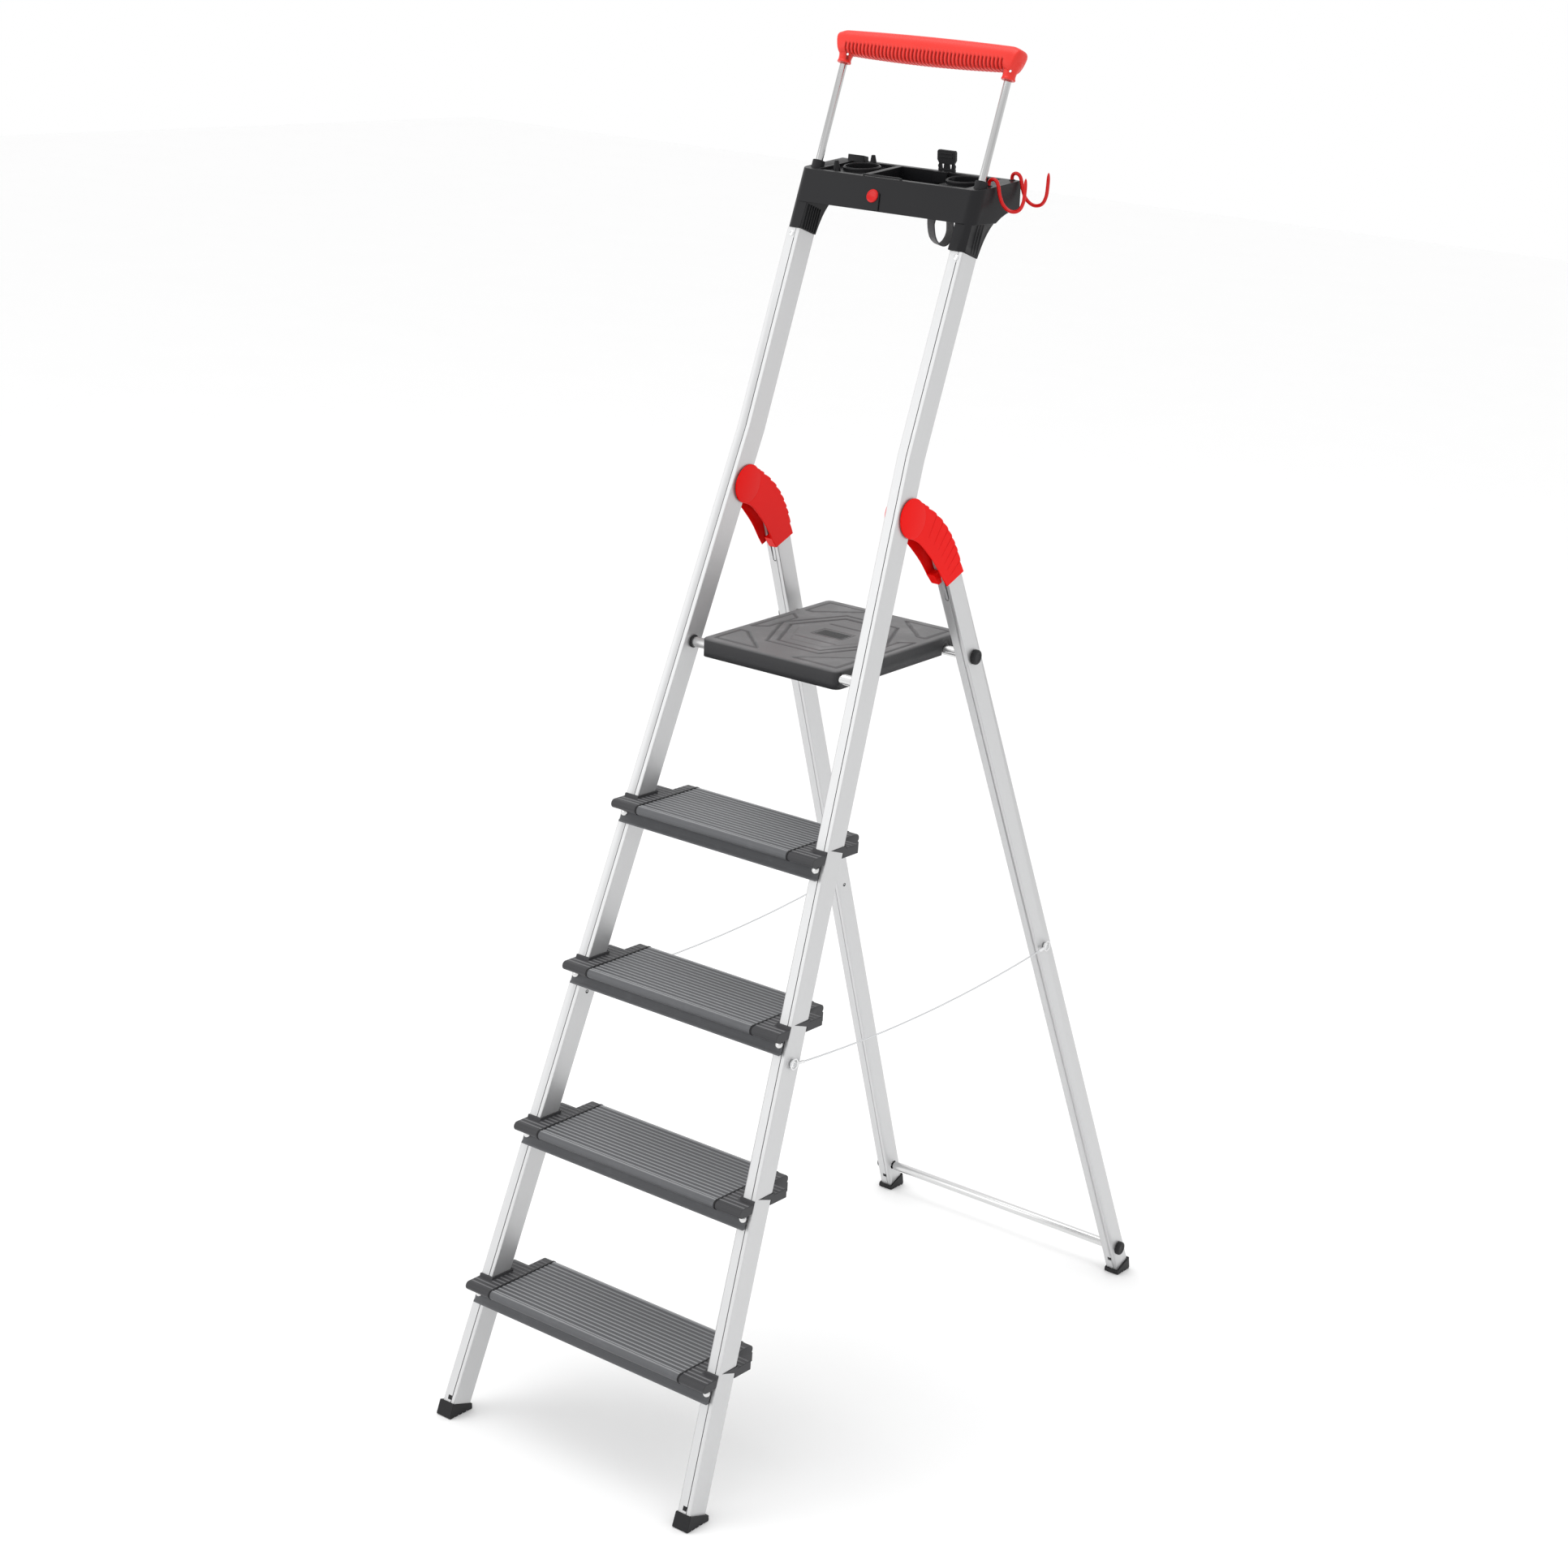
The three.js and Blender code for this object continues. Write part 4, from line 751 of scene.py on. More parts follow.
def stranded():
    """Thin galvanised wire rope: slanting strands that catch the light."""
    finish = Finish("wire_rope", Metallic=0.85)
    along, around = finish.along_and_across()
    strand = (along * (TURN / STRAND_STEP) + around * (3 * TURN)).sine() * 0.5 + 0.5
    finish.set(
        Base_Color=finish.colour(strand, (0.5, 0.51, 0.52), (0.85, 0.86, 0.87)),
        Roughness=0.3 + (1 - strand) * 0.2,
    )
    finish.bump(strand, 0.2)
    return finish.material


webbing_finish, rope_finish = woven(), stranded()
print("finishes:", len(bpy.data.materials))

# %% [markdown]
# ## Safety wires
# A thin wire rope on each side stops the frames from spreading. It is screwed to the stile and to
# the rear leg through crimped eyelets and hangs in a shallow curve. It crosses the hinge's motion;
# the rope rides on no body, and the eyelets at its ends ride on the front and the rear body.

# %% Wires, eyelets and sleeves
WIRE_RADIUS, WIRE_STANDOFF, WIRE_SAG = 1.1, 4.2, 14
WIRE_FRONT_Z, WIRE_REAR_Z = 560, 573
EYELET_REACH = 5.5 + WIRE_RADIUS + 0.3
HOOP_RADIUS, EYELET_WIRE = 6.6, 1.0
SLEEVE = [(4, 0), (4, 1.4), (5, 2.1), (16, 2.1), (17, 1.4), (17, 0)]


def wire_route(side, count=25):
    """A parabola under the straight line from screw to screw, as (x, y, z) from the origin."""
    front_y = face_y(WIRE_FRONT_Z) + STILE_DEPTH / 2 / math.cos(FRONT_LEAN)
    rear_y = SPREAD - WIRE_REAR_Z * math.tan(REAR_LEAN) + LEG_DEPTH / 2 / math.cos(REAR_LEAN)
    front_along = front_y * math.sin(FRONT_LEAN) + WIRE_FRONT_Z * math.cos(FRONT_LEAN)
    rear_along = WIRE_REAR_Z * math.cos(REAR_LEAN) - (rear_y - SPREAD) * math.sin(REAR_LEAN)
    t = np.linspace(0, 1, count)
    ends_x = np.array([front_half(front_along), rear_half(rear_along)]) + WIRE_STANDOFF
    x = side * (ends_x[0] + (ends_x[1] - ends_x[0]) * t)
    y0, y1 = front_y + EYELET_REACH, rear_y - EYELET_REACH
    z = WIRE_FRONT_Z + (WIRE_REAR_Z - WIRE_FRONT_Z) * t - 4 * WIRE_SAG * t * (1 - t)
    return np.stack([x, y0 + (y1 - y0) * t, z], -1)


for word, side in SIDES:
    route = wire_route(side)
    rope = carried(circle(WIRE_RADIUS, 10), route, (1, 0, 0))
    node = f"safety_wire_{word}"
    wire = piece(f"wire_rope_{word}", [rope], on_floor, None, rope_finish, "steel", [node])
    metres = on_floor(route)
    places = places_of(wire)
    nearest = nearest_step(places, metres)
    off = places - metres[nearest]
    mapped(wire, metres, nearest, np.arctan2(off[:, 2], off[:, 0]) / TURN + 0.5)
    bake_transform(wire)
    for end, point, inward in (
        ("front", route[0], route[3] - route[0]),
        ("rear", route[-1], route[-4] - route[-1]),
    ):
        inward = inward / np.linalg.norm(inward)
        centre = point - inward * EYELET_REACH
        turn = np.linspace(0, TURN, 33)
        hoop = centre + HOOP_RADIUS * np.stack([0 * turn, np.cos(turn), np.sin(turn)], -1)
        eyelet = carried(circle(EYELET_WIRE, 10), hoop, (1, 0, 0))
        sleeve = turned(SLEEVE, centre + inward * 3, inward, 16)
        name = f"wire_eyelet_{end}_{word}"
        piece(name, [eyelet, sleeve], on_floor, end, steel_finish, "steel")

# %% [markdown]
# ## Screws and rivets
# Each wire screw is a domed head with a drive recess. The rivets that hold the treads are plain
# polished domes. Both are profiles spun about their axis.

# %% Heads
WIRE_SCREW = [(0, 0), (0, 5.5), (0.8, 5.5), (2.0, 5.0), (2.8, 3.8), (3.0, 2.4), (1.6, 2.1), (1.6, 0)]
RIVET = [(0, 0), (0, 5.4), (0.5, 5.4), (1.5, 4.8), (2.3, 3.5), (2.9, 1.8), (3.05, 0)]
SCREW_HALF, RIVET_PLACE, RIVET_LOWER = 1.5, -5.1, 2.0
TRAY_SCREW_X, TRAY_SCREW_ALONG = 129.2, 1615.5
TRAY_SCREW = [(0, 0), (0, 3.9), (0.7, 3.7), (1.3, 2.9), (1.5, 1.7), (0.6, 1.5), (0.6, 0)]


def middle_of(node):
    """Middle of a CAD node's box, in the drawing's millimetres."""
    low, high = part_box(node)
    return (np.array(low) + np.array(high)) / 2 / MM - [0, ORIGIN_Y, 0]


for word, side in SIDES:
    for end in ("front", "rear"):
        node = f"wire_screw_{end}_{word}"
        head = turned(WIRE_SCREW, middle_of(node) - [side * SCREW_HALF, 0, 0], (side, 0, 0))
        piece(f"{node}_head", [head], on_floor, end, steel_finish, "steel", [node])

OUT = (0, -1, 0)
for n in range(1, 5):
    for word, side in SIDES:
        along = (middle_of(f"rivet_{n}_{word}")[2] - RIVET_LOWER) / math.cos(FRONT_LEAN)
        x = side * (front_half(along) - STILE_WIDTH / 2)
        dome = turned(RIVET, (x, RIVET_PLACE, along), OUT)
        node = f"rivet_{n}_{word}"
        piece(f"{node}_dome", [dome], in_front, "front", tube_finish, "aluminium_tube", [node])

for word, side in SIDES:
    head = turned(TRAY_SCREW, (side * TRAY_SCREW_X, 0, TRAY_SCREW_ALONG), OUT)
    piece(f"tray_screw_{word}", [head], in_front, "front", steel_finish, "steel")
tell("screws and rivets")

# %% [markdown]
# ## Tubes and their caps
# Bright tubes join the two sides. The lowest one narrows where it enters the legs. Black domed
# caps close the rear tubes outside the legs, and a bush seats the platform's tube in each stile.

# %% Tubes
TUBE_RADIUS, BRACE_RADIUS, BRACE_NECK, NECK_LENGTH = 6.8, 6.6, 1.6, 24


def tube_piece(name, node, radius, body, neck=0.0, neck_length=0.0):
    """A bar along X between the CAD tube's ends, narrower over the last stretch if it has a neck."""
    low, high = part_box(node)
    middle = middle_of(node)
    reach = (high.x - low.x) / 2 / MM
    profile = rod_profile(-reach, reach, radius - neck)
    if neck:
        inner, thin = reach - neck_length, radius - neck
        shoulders = [(-inner - 3, thin), (-inner, radius), (inner, radius), (inner + 3, thin)]
        profile = profile[:4] + shoulders + profile[4:]
    tube = turned(profile, (0, middle[1], middle[2]), (1, 0, 0), 48)
    piece(name, [tube], on_floor, body, tube_finish, "aluminium_tube", [node])


tube_piece("platform_tube_bright", "platform_tube", TUBE_RADIUS, "front")
tube_piece("rear_tube_bright", "rear_tube", TUBE_RADIUS, "rear")
tube_piece("brace_tube_bright", "brace_tube", BRACE_RADIUS, "rear", BRACE_NECK, NECK_LENGTH)

# %% Caps and bushes
CAP_HALF, BUSH_HALF = 2.75, 1.1
CAP = [(0, 0), (0, 10), (3.4, 10), (4.6, 9.5), (5.3, 8.2), (5.5, 6.0), (5.0, 5.4), (5.0, 0)]
BUSH = [(0, 6.9), (0, 8.6), (1.4, 8.6), (2.2, 7.9), (2.2, 6.9), (0, 6.9)]
for word, side in SIDES:
    for node in (f"tube_cap_{word}", f"brace_cap_{word}"):
        cap = turned(CAP, middle_of(node) - [side * CAP_HALF, 0, 0], (side, 0, 0), 48)
        piece(f"{node}_domed", [cap], on_floor, "rear", black_finish, "black_plastic", [node])
    node = f"tube_bush_{word}"
    bush = turned(BUSH, middle_of(node) + [side * BUSH_HALF, 0, 0], (-side, 0, 0), 48)
    piece(f"{node}_ring", [bush], on_floor, "front", black_finish, "black_plastic", [node])
tell("tubes, caps and bushes")

# %% [markdown]
# ## Stiles and legs
# Box extrusions. Their CAD shape is right, groove and slot and bolt holes included, so a copy
# keeps it and only the long outer corners are rounded, which gives the bright line that an
# extrusion's corner always shows.

# %% Stiles and legs
for word, side in SIDES:
    softened(f"stile_{word}", stile_finish, "aluminium_profile", 1.3, long_edges=150, segments=3)
    softened(f"rear_leg_{word}", leg_finish, "aluminium_profile", 1.2, long_edges=150, segments=3)

# %% Painted groove shadows, slot tongues and bolt ends
GROOVE_SHARE, SLOT_FROM_HINGE, SLOT_LENGTH, SLOT_HALF = 0.68, 150, 60, 2.6
GROOVE_STOPS = (20, 700, BEND_ALONG, 1610)
for word, side in SIDES:
    low_x = lambda along: side * (front_half(along) - STILE_WIDTH / 2) - STILE_WIDTH / 2
    # A thin black strip laid along each stile's groove is a painted shadow that darkens the groove.
    line = [(low_x(a) + STILE_WIDTH * GROOVE_SHARE, 0.55, a) for a in GROOVE_STOPS]
    shadow = carried(ellipse(0.5, 0.3, 1, 8), line, (1, 0, 0))
    piece(f"stile_groove_shadow_{word}", [shadow], in_front, "front", black_finish, "aluminium_profile")
    slot_low = HINGE_REAR_ALONG - SLOT_FROM_HINGE + 1.2
    middle = SLOT_LENGTH / 2
    tongue_x = float(side * (rear_half(slot_low + middle) - LEG_WIDTH / 2))
    wide, tall = SLOT_HALF - 0.8, SLOT_LENGTH - 3
    corners = [(-wide, 1.5), (-wide * 0.6, 0), (wide * 0.6, 0), (wide, 1.5), (wide, tall), (-wide, tall)]
    lean_x = side * REAR_TAPER
    leaning = [(tongue_x + u - lean_x * (v - middle), slot_low + v) for u, v in corners]
    points, faces = slab(leaning, 0.25, 1.2)
    tongue = (points[:, [0, 2, 1]], faces)
    name = f"rear_leg_tongue_{word}"
    piece(name, [tongue], in_rear, "rear", leg_finish, "aluminium_profile", bevel=0.2)

BOLT = [(0, 0), (0, 2.6), (0.35, 2.6), (0.35, 1.9), (-0.2, 1.6), (-0.2, 0)]
BOLT_FRONT_ALONG, BOLT_REAR_ALONG = 595, 618
inner_x = {
    "front": front_half(BOLT_FRONT_ALONG) - STILE_WIDTH,
    "rear": rear_half(BOLT_REAR_ALONG) - LEG_WIDTH,
}
for word, side in SIDES:
    for end in ("front", "rear"):
        point = middle_of(f"wire_screw_{end}_{word}") * [0, 1, 1] + [side * inner_x[end], 0, 0]
        bolt = turned(BOLT, point, (-side, 0, 0), 20)
        piece(f"bolt_end_{end}_{word}", [bolt], on_floor, end, black_finish, "black_plastic")
tell("stiles, legs and their details")

# %% [markdown]
# ## Treads
# An extruded tread has rolled noses and fine ribs that run along it in pairs. Its section is one
# closed loop, so the whole tread is that section carried along X. The ribs are narrow bumps in the
# section's height: each is a bell curve, and a pair of them repeats every eight millimetres.

# %% Tread section
NOSE_OUT, TREAD_DEPTH, TREAD_THICK = 29, 130, 12
RIB_PITCH, RIB_APART, RIB_WIDTH, RIB_HEIGHT = 8.0, 0.75, 0.6, 0.5
TREAD_FRONT, TREAD_BACK = -NOSE_OUT, TREAD_DEPTH - NOSE_OUT
NOSE = TREAD_THICK / 2


def rib_height(y):
    """Zero to one: a pair of bell curves in every pitch, faded out at the noses."""
    phase = (y - TREAD_FRONT - NOSE) % RIB_PITCH - RIB_PITCH / 2
    pair = sum(np.exp(-(((phase - s * RIB_APART) / RIB_WIDTH) ** 2)) for s in (-1, 1))
    inside = eased(y, TREAD_FRONT + NOSE, TREAD_FRONT + NOSE + 2)
    return pair * inside * (1 - eased(y, TREAD_BACK - NOSE - 2, TREAD_BACK - NOSE))


def nose(centre, start, end, radius=NOSE, count=14):
    """Part of a circle round a nose's middle, in degrees, as (y, z)."""
    turn = np.radians(np.linspace(start, end, count))
    return np.stack([centre + radius * np.cos(turn), -NOSE + radius * np.sin(turn)], -1)


def tread_loop():
    """The tread's closed section (y, z) from its top's rear edge round to the start."""
    y = np.linspace(TREAD_BACK - NOSE, TREAD_FRONT + NOSE, 470)
    top = np.stack([y, -RIB_HEIGHT + RIB_HEIGHT * rib_height(y)], -1)
    top[:, 1] *= eased(y, TREAD_FRONT + NOSE, TREAD_FRONT + NOSE + 2) * (
        1 - eased(y, TREAD_BACK - NOSE - 2, TREAD_BACK - NOSE)
    )
    front = nose(TREAD_FRONT + NOSE, 90, 270)[1:]
    under = np.array([(-3, -12), (-3, -3), (83, -3), (83, -12)], float)
    rear = nose(TREAD_BACK - NOSE, -90, 90)[:-1]
    return np.concatenate([top, front, under, rear])


def apron_loop():
    """The apron's leaning skin with its forward lip, as (y, z) from the stile's face."""
    lean = math.tan(FRONT_LEAN)
    at = lambda out, drop: (-out / math.cos(FRONT_LEAN) - drop * lean, -drop)
    return [
        at(4.8, 9.8), at(4.8, 28.3), at(6.4, 29.3), at(6.4, 31.5), at(0.3, 31.5),
        at(0.3, 29.3), at(2.6, 29.3), at(2.6, 14.2), at(0.3, 14.2), at(0.3, 9.8),
    ]


def along_x(loop, low, high):
    """A loop of (y, z) carried along X."""
    loop = np.asarray(loop, float)
    return closed(np.stack([np.column_stack([np.full(len(loop), x), loop]) for x in (low, high)]))


# %% Treads, caps and gaskets
def moved(shell, dx, dy, dz):
    """The same shell, moved."""
    return shell[0] + np.array([dx, dy, dz], float), shell[1]


RIB_SECTION = [(-0.55, -0.3), (-0.3, 0.45), (0.3, 0.45), (0.55, -0.3)]
RIBS_FROM, RIBS_TO, RIBS_TO_STILE, RIBS_TO_NOTCH = 41.2, 1.5, 24, 26.5  # in from the cap's end
STILE_GAP, NOTCH_FROM = 6, TREAD_BACK - 37


def cap_ribs(half, side):
    """Short ribs on a tread's end cap, clear of the stile's collar and of the notch."""
    shells = []
    for k in range(14):
        y = TREAD_FRONT + NOSE + RIB_PITCH / 2 + k * RIB_PITCH
        beside_stile = -STILE_GAP < y < STILE_DEPTH / math.cos(FRONT_LEAN) + STILE_GAP
        inner, outer = half - RIBS_FROM, half - (RIBS_TO_STILE if beside_stile else RIBS_TO)
        if y > NOTCH_FROM:
            outer = half - RIBS_TO_NOTCH
        low, high = (inner, outer) if side > 0 else (-outer, -inner)
        for offset in (-RIB_APART, RIB_APART):
            shells.append(along_x([(y + offset + u, v) for u, v in RIB_SECTION], low, high))
    return shells


FIRST_TOP, TREAD_PITCH, CAP_LENGTH = 185.5, 210, 42
GASKET_OUT, GASKET_HALF = 0.7, 1.1
gasket_loop = np.concatenate([
    nose(TREAD_FRONT + NOSE, 90, 270, NOSE + GASKET_OUT),
    nose(TREAD_BACK - NOSE, -90, 90, NOSE + GASKET_OUT),
])
for n in range(1, 5):
    top = FIRST_TOP + (n - 1) * TREAD_PITCH
    place = (0, face_y(top), top)
    half = float(front_half(top / math.cos(FRONT_LEAN)))
    seam = half - CAP_LENGTH
    loops = [along_x(tread_loop(), -seam, seam), along_x(apron_loop(), 4 - half, half - 4)]
    shells = [moved(shell, *place) for shell in loops]
    name, node = f"tread_{n}_ribbed", f"tread_{n}"
    tread = piece(name, shells, on_floor, "front", tread_finish, "tread_aluminium", [node], crease=50)
    # Painted highlight: the mark is one on the rib tops and zero in the grooves between them.
    above = places_of(tread)[:, 2] / MM - top + RIB_HEIGHT
    marked(tread, "wear_and_painted_light", np.clip(above / RIB_HEIGHT, 0, 1) ** 2)
    for word, side in SIDES:
        softened(f"tread_cap_{n}_{word}", cap_finish, "black_plastic", 0.7)
        # The cap ribs' lighter plastic is a painted highlight.
        ribs = [moved(shell, *place) for shell in cap_ribs(half, side)]
        name = f"tread_cap_ribs_{n}_{word}"
        piece(name, ribs, on_floor, "front", cap_rib_highlight_finish, "black_plastic")
        edge = side * (seam + 0.2)
        ring = moved(along_x(gasket_loop, edge - GASKET_HALF, edge + GASKET_HALF), *place)
        name = f"tread_gasket_{n}_{word}"
        piece(name, [ring], on_floor, "front", black_finish, "black_plastic")
print("treads made, top of the highest at", top, "mm")

# %% [markdown]
# ## Platform
# A moulded tray turned upside down: a pressed-in pattern on top, a skirt all round, an arch in each
# flank for the rear tube. The top is a height over (x, back): the pattern is a sum of grooves, each
# the distance to a drawn line pushed through a smooth step. The square grid's corners are mapped
# onto quarter circles, so the same grid makes the round corners and runs on down the skirt.

# %% Platform pattern
PLATFORM_HALF, PLATFORM_LENGTH, PLATFORM_AHEAD = 110.5, 272.0, 11.5
PLATFORM_RISE, SKIRT, CORNER, ARCH_RADIUS = 11.5, 24.3, 9.0, 8.8
MIDDLE = PLATFORM_LENGTH / 2


def to_segment(u, v, a, b):
    """Distance from points (u, v) to the line from a to b."""
    ax, ay = a
    dx, dy = b[0] - ax, b[1] - ay
    t = np.clip(((u - ax) * dx + (v - ay) * dy) / (dx * dx + dy * dy), 0, 1)
    return np.hypot(u - ax - t * dx, v - ay - t * dy)


def to_outline(u, v, points):
    """Distance to a closed outline."""
    pairs = zip(points, points[1:] + points[:1])
    return np.min([to_segment(u, v, a, b) for a, b in pairs], axis=0)


def inside(u, v, points):
    """True where (u, v) lies in an outline, by counting the edges a ray crosses."""
    hit = np.zeros(np.shape(u), bool)
    for (ax, ay), (bx, by) in zip(points, points[1:] + points[:1]):
        crosses = (ay > v) != (by > v)
        slope = (bx - ax) / (by - ay) if by != ay else 0.0
        hit ^= crosses & (u < (v - ay) * slope + ax)
    return hit


def hexagon(reach_u, reach_v, cut):
    """Six-sided outline, pointed towards the flanks."""
    return [
        (-reach_u, 0), (-reach_u + cut, -reach_v), (reach_u - cut, -reach_v),
        (reach_u, 0), (reach_u - cut, reach_v), (-reach_u + cut, reach_v),
    ]


def mirrored(points, su, sv):
    """An outline reflected in either axis."""
    return [(su * u, sv * v) for u, v in points]


CORNER_PANEL = [(-98, -122), (-30, -122), (-42, -110), (-74, -82), (-86, -70), (-98, -70)]
SIDE_PANEL = [(-100, -44), (-84, -30), (-84, 30), (-100, 44)]
LABEL = [(-25, -15), (25, -15), (25, 15), (-25, 15)]


def pattern(u, v):
    """Depth of the pressed pattern, in mm below the flat top, at a place from the top's middle."""
    groove = lambda distance, width: 1 - eased(distance, width * 0.4, width)
    drop = np.zeros(np.shape(u))
    for su in (-1, 1):
        for sv in (-1, 1):
            panel = mirrored(CORNER_PANEL, su, sv)
            drop += 1.5 * groove(to_outline(u, v, panel), 2.8)
            drop -= 0.35 * inside(u, v, panel)
        drop += 1.4 * groove(to_outline(u, v, mirrored(SIDE_PANEL, su, 1)), 2.6)
    for reach_u, reach_v, cut in ((84, 86, 42), (70, 73, 36)):
        drop += 1.7 * groove(to_outline(u, v, hexagon(reach_u, reach_v, cut)), 2.8)
    drop += 0.4 * (inside(u, v, hexagon(70, 73, 36)) & ~inside(u, v, hexagon(56, 56, 29)))
    for level in (-38, 38):
        drop += 1.2 * groove(to_segment(u, v, (-32, level), (32, level)), 2.4)
    drop += 0.9 * groove(to_outline(u, v, LABEL), 1.5)
    drop += 0.3 * inside(u, v, LABEL)
    return np.clip(drop, -0.4, 2.0)


# %% Platform shell
def corner_mapped(a, b):
    """A unit square's corner onto a quarter disc: a * sqrt(1 - b^2 / 2), and the same for b."""
    return a * np.sqrt(1 - b * b / 2), b * np.sqrt(1 - a * a / 2)


def platform_shell():
    """The top grid with round corners, then the skirt's rows below its rim."""
    nx, ny = 172, 212
    flat = lambda reach, count: np.concatenate([
        -reach + CORNER * (np.linspace(0, 1, 7)[:-1]),
        np.linspace(-reach + CORNER, reach - CORNER, count - 12),
        reach - CORNER * (1 - np.linspace(0, 1, 7)[1:]),
    ])
    x, v = np.meshgrid(flat(PLATFORM_HALF, nx), flat(MIDDLE, ny), indexing="ij")
    a = np.clip((np.abs(x) - PLATFORM_HALF + CORNER) / CORNER, 0, 1)
    b = np.clip((np.abs(v) - MIDDLE + CORNER) / CORNER, 0, 1)
    ma, mb = corner_mapped(a, b)
    sx = np.sign(x) * np.where(a > 0, PLATFORM_HALF - CORNER + CORNER * ma, np.abs(x))
    sv = np.sign(v) * np.where(b > 0, MIDDLE - CORNER + CORNER * mb, np.abs(v))
    rim = np.hypot(ma, mb)
    z = PLATFORM_RISE - pattern(sx, sv) * (1 - eased(rim, 0.0, 0.5))
    z -= 1.6 * eased(rim, 0.72, 1.0) ** 2
    top = np.stack([sx, sv + MIDDLE - PLATFORM_AHEAD, z], -1).reshape(-1, 3)
    faces = grid_faces(nx, ny, wrap=False)
    i, j = np.arange(nx), np.arange(ny)
    border = np.concatenate([
        i[:-1] * ny, (nx - 1) * ny + j[:-1], i[:0:-1] * ny + ny - 1, j[:0:-1],
    ])
    rim_points = top[border]
    apart = middle_of("rear_tube")[1] - middle_of("platform_tube")[1]
    arch_back, arch_up = apart * math.cos(PLATFORM_TILT), -apart * math.sin(PLATFORM_TILT)
    near = np.clip(ARCH_RADIUS**2 - (rim_points[:, 1] - arch_back) ** 2, 0, None)
    lowest = PLATFORM_RISE - SKIRT
    low = np.where(near > 0, np.maximum(lowest, arch_up + np.sqrt(near)), lowest)
    on_flank = np.abs(rim_points[:, 0]) > PLATFORM_HALF - CORNER
    low = np.where(on_flank, low, lowest)
    rows, all_points = [border], [top]
    count, size = len(top), len(border)
    for share in (0.06, 0.5, 1.0):
        ring = rim_points.copy()
        ring[:, 2] = rim_points[:, 2] + (low - rim_points[:, 2]) * share
        all_points.append(ring)
        rows.append(count + np.arange(size))
        count += size
    for upper, lower in zip(rows[:-1], rows[1:]):
        faces += np.stack([upper, np.roll(upper, -1), np.roll(lower, -1), lower], -1).tolist()
    return np.concatenate(all_points), faces


# %% Platform and its label plate
platform = piece(
    "platform_pressed", [platform_shell()], on_platform, "platform", platform_finish,
    "platform_plastic", ["platform"], crease=60,
)
places = places_of(platform) / MM
rise = places[:, 2] - TUBE_HEIGHT - (places[:, 1] - tube_y) * math.tan(PLATFORM_TILT)
# Painted shade: one on the flat top, less in the pattern's grooves, zero down the skirt.
on_top = eased(rise, PLATFORM_RISE - 3.2, PLATFORM_RISE - 2.2)
marked(platform, "wear_and_painted_light", on_top * (1 - 0.55 * eased(PLATFORM_RISE - rise, 0.5, 1.6)))
wall = platform.modifiers.new("wall", "SOLIDIFY")
wall.thickness = 2.6 * MM
wall.offset = -1


def label_slab(half_width, low, high, below, above):
    """A flat rectangle on the platform's label, from below to above the platform's top."""
    middle = MIDDLE - PLATFORM_AHEAD
    corners = [(-half_width, low), (half_width, low), (half_width, high), (-half_width, high)]
    return moved(slab(corners, PLATFORM_RISE + below, PLATFORM_RISE + above), 0, middle, 0)


plate = [label_slab(22, -11.5, 11.5, -0.6, -0.05)]
plate += [label_slab(19, v - 0.45, v + 0.45, -0.5, 0.12) for v in np.linspace(-8, 8, 6)]
name = "platform_label_plate"
piece(name, plate, on_platform, "platform", tray_finish, "platform_plastic", bevel=0.15)
print("platform faces", len(platform.data.polygons))

# %% [markdown]
# ## Hinge covers
# A red cover on each side hides the hinge: two cheeks with a round boss at the pin, joined by a web
# along the back of the arm, hollow towards the ladder. The arm's back edge steps out in small
# scallops for grip. The arm is a U-shaped section carried from the boss to the leg, where one
# number runs along the arm and the other round the U. It leans sideways with the leg.

# %% Cover shapes
COVER_DISC, OUTER_WALL, INNER_WALL, COVER_WEB, COVER_PLAY = 25.7, 1.5, 1.3, 2.2, 0.8
DISC_BACK, DISC_DOWN = 4.0, 1.5
COVER_REACH, SCALLOPS, SCALLOP_DEPTH = 121, 10, 2.0
COVER_BACK = [(26, -8), (33, 0), (50, 25), (62, 50), (69, 72), (73, 92), (74.6, COVER_REACH)]
COVER_FRONT = [(-13, 21.5), (0.5, 36.5), (14, 61.7), (24, 84), (31, 106), (36, COVER_REACH)]


def cover_shell(x_outer, x_inner):
    """U-section rows: out along the outer cheek, across the web, back along the inner cheek."""
    rows = 161
    back_edge, front_edge = smooth_curve(COVER_BACK, rows), smooth_curve(COVER_FRONT, rows)
    t = np.linspace(0, 1, rows)
    step = (t * SCALLOPS) % 1
    notch = SCALLOP_DEPTH * (1 - step) ** 2 * eased(t, 0.02, 0.1) * (1 - eased(t, 0.985, 1.0))
    span = back_edge - front_edge
    width = np.linalg.norm(span, axis=1, keepdims=True)
    direction = span / width
    back_edge = back_edge - direction * notch[:, None]
    width = width - notch[:, None]
    sign = 1 if x_outer > x_inner else -1
    xi, xo, web = x_inner, x_outer, COVER_WEB
    loop = [
        (xo - sign * 0.5, 0, 0.0), (xo, 0, 0.6), (xo, 1, -0.9), (xo - sign * 0.9, 1, 0.0),
        (xi + sign * 0.9, 1, 0.0), (xi, 1, -0.9), (xi, 0, 0.6), (xi + sign * 0.5, 0, 0.0),
        (xi + sign * INNER_WALL, 0, 0.0), (xi + sign * INNER_WALL, 1, -web),
        (xo - sign * OUTER_WALL, 1, -web), (xo - sign * OUTER_WALL, 0, 0.0),
    ]
    columns = []
    for x, share, extra in loop:
        at = front_edge + direction * (width * share + extra)
        columns.append(np.column_stack([np.full(rows, float(x)), at]))
    return closed(np.stack(columns, 1))


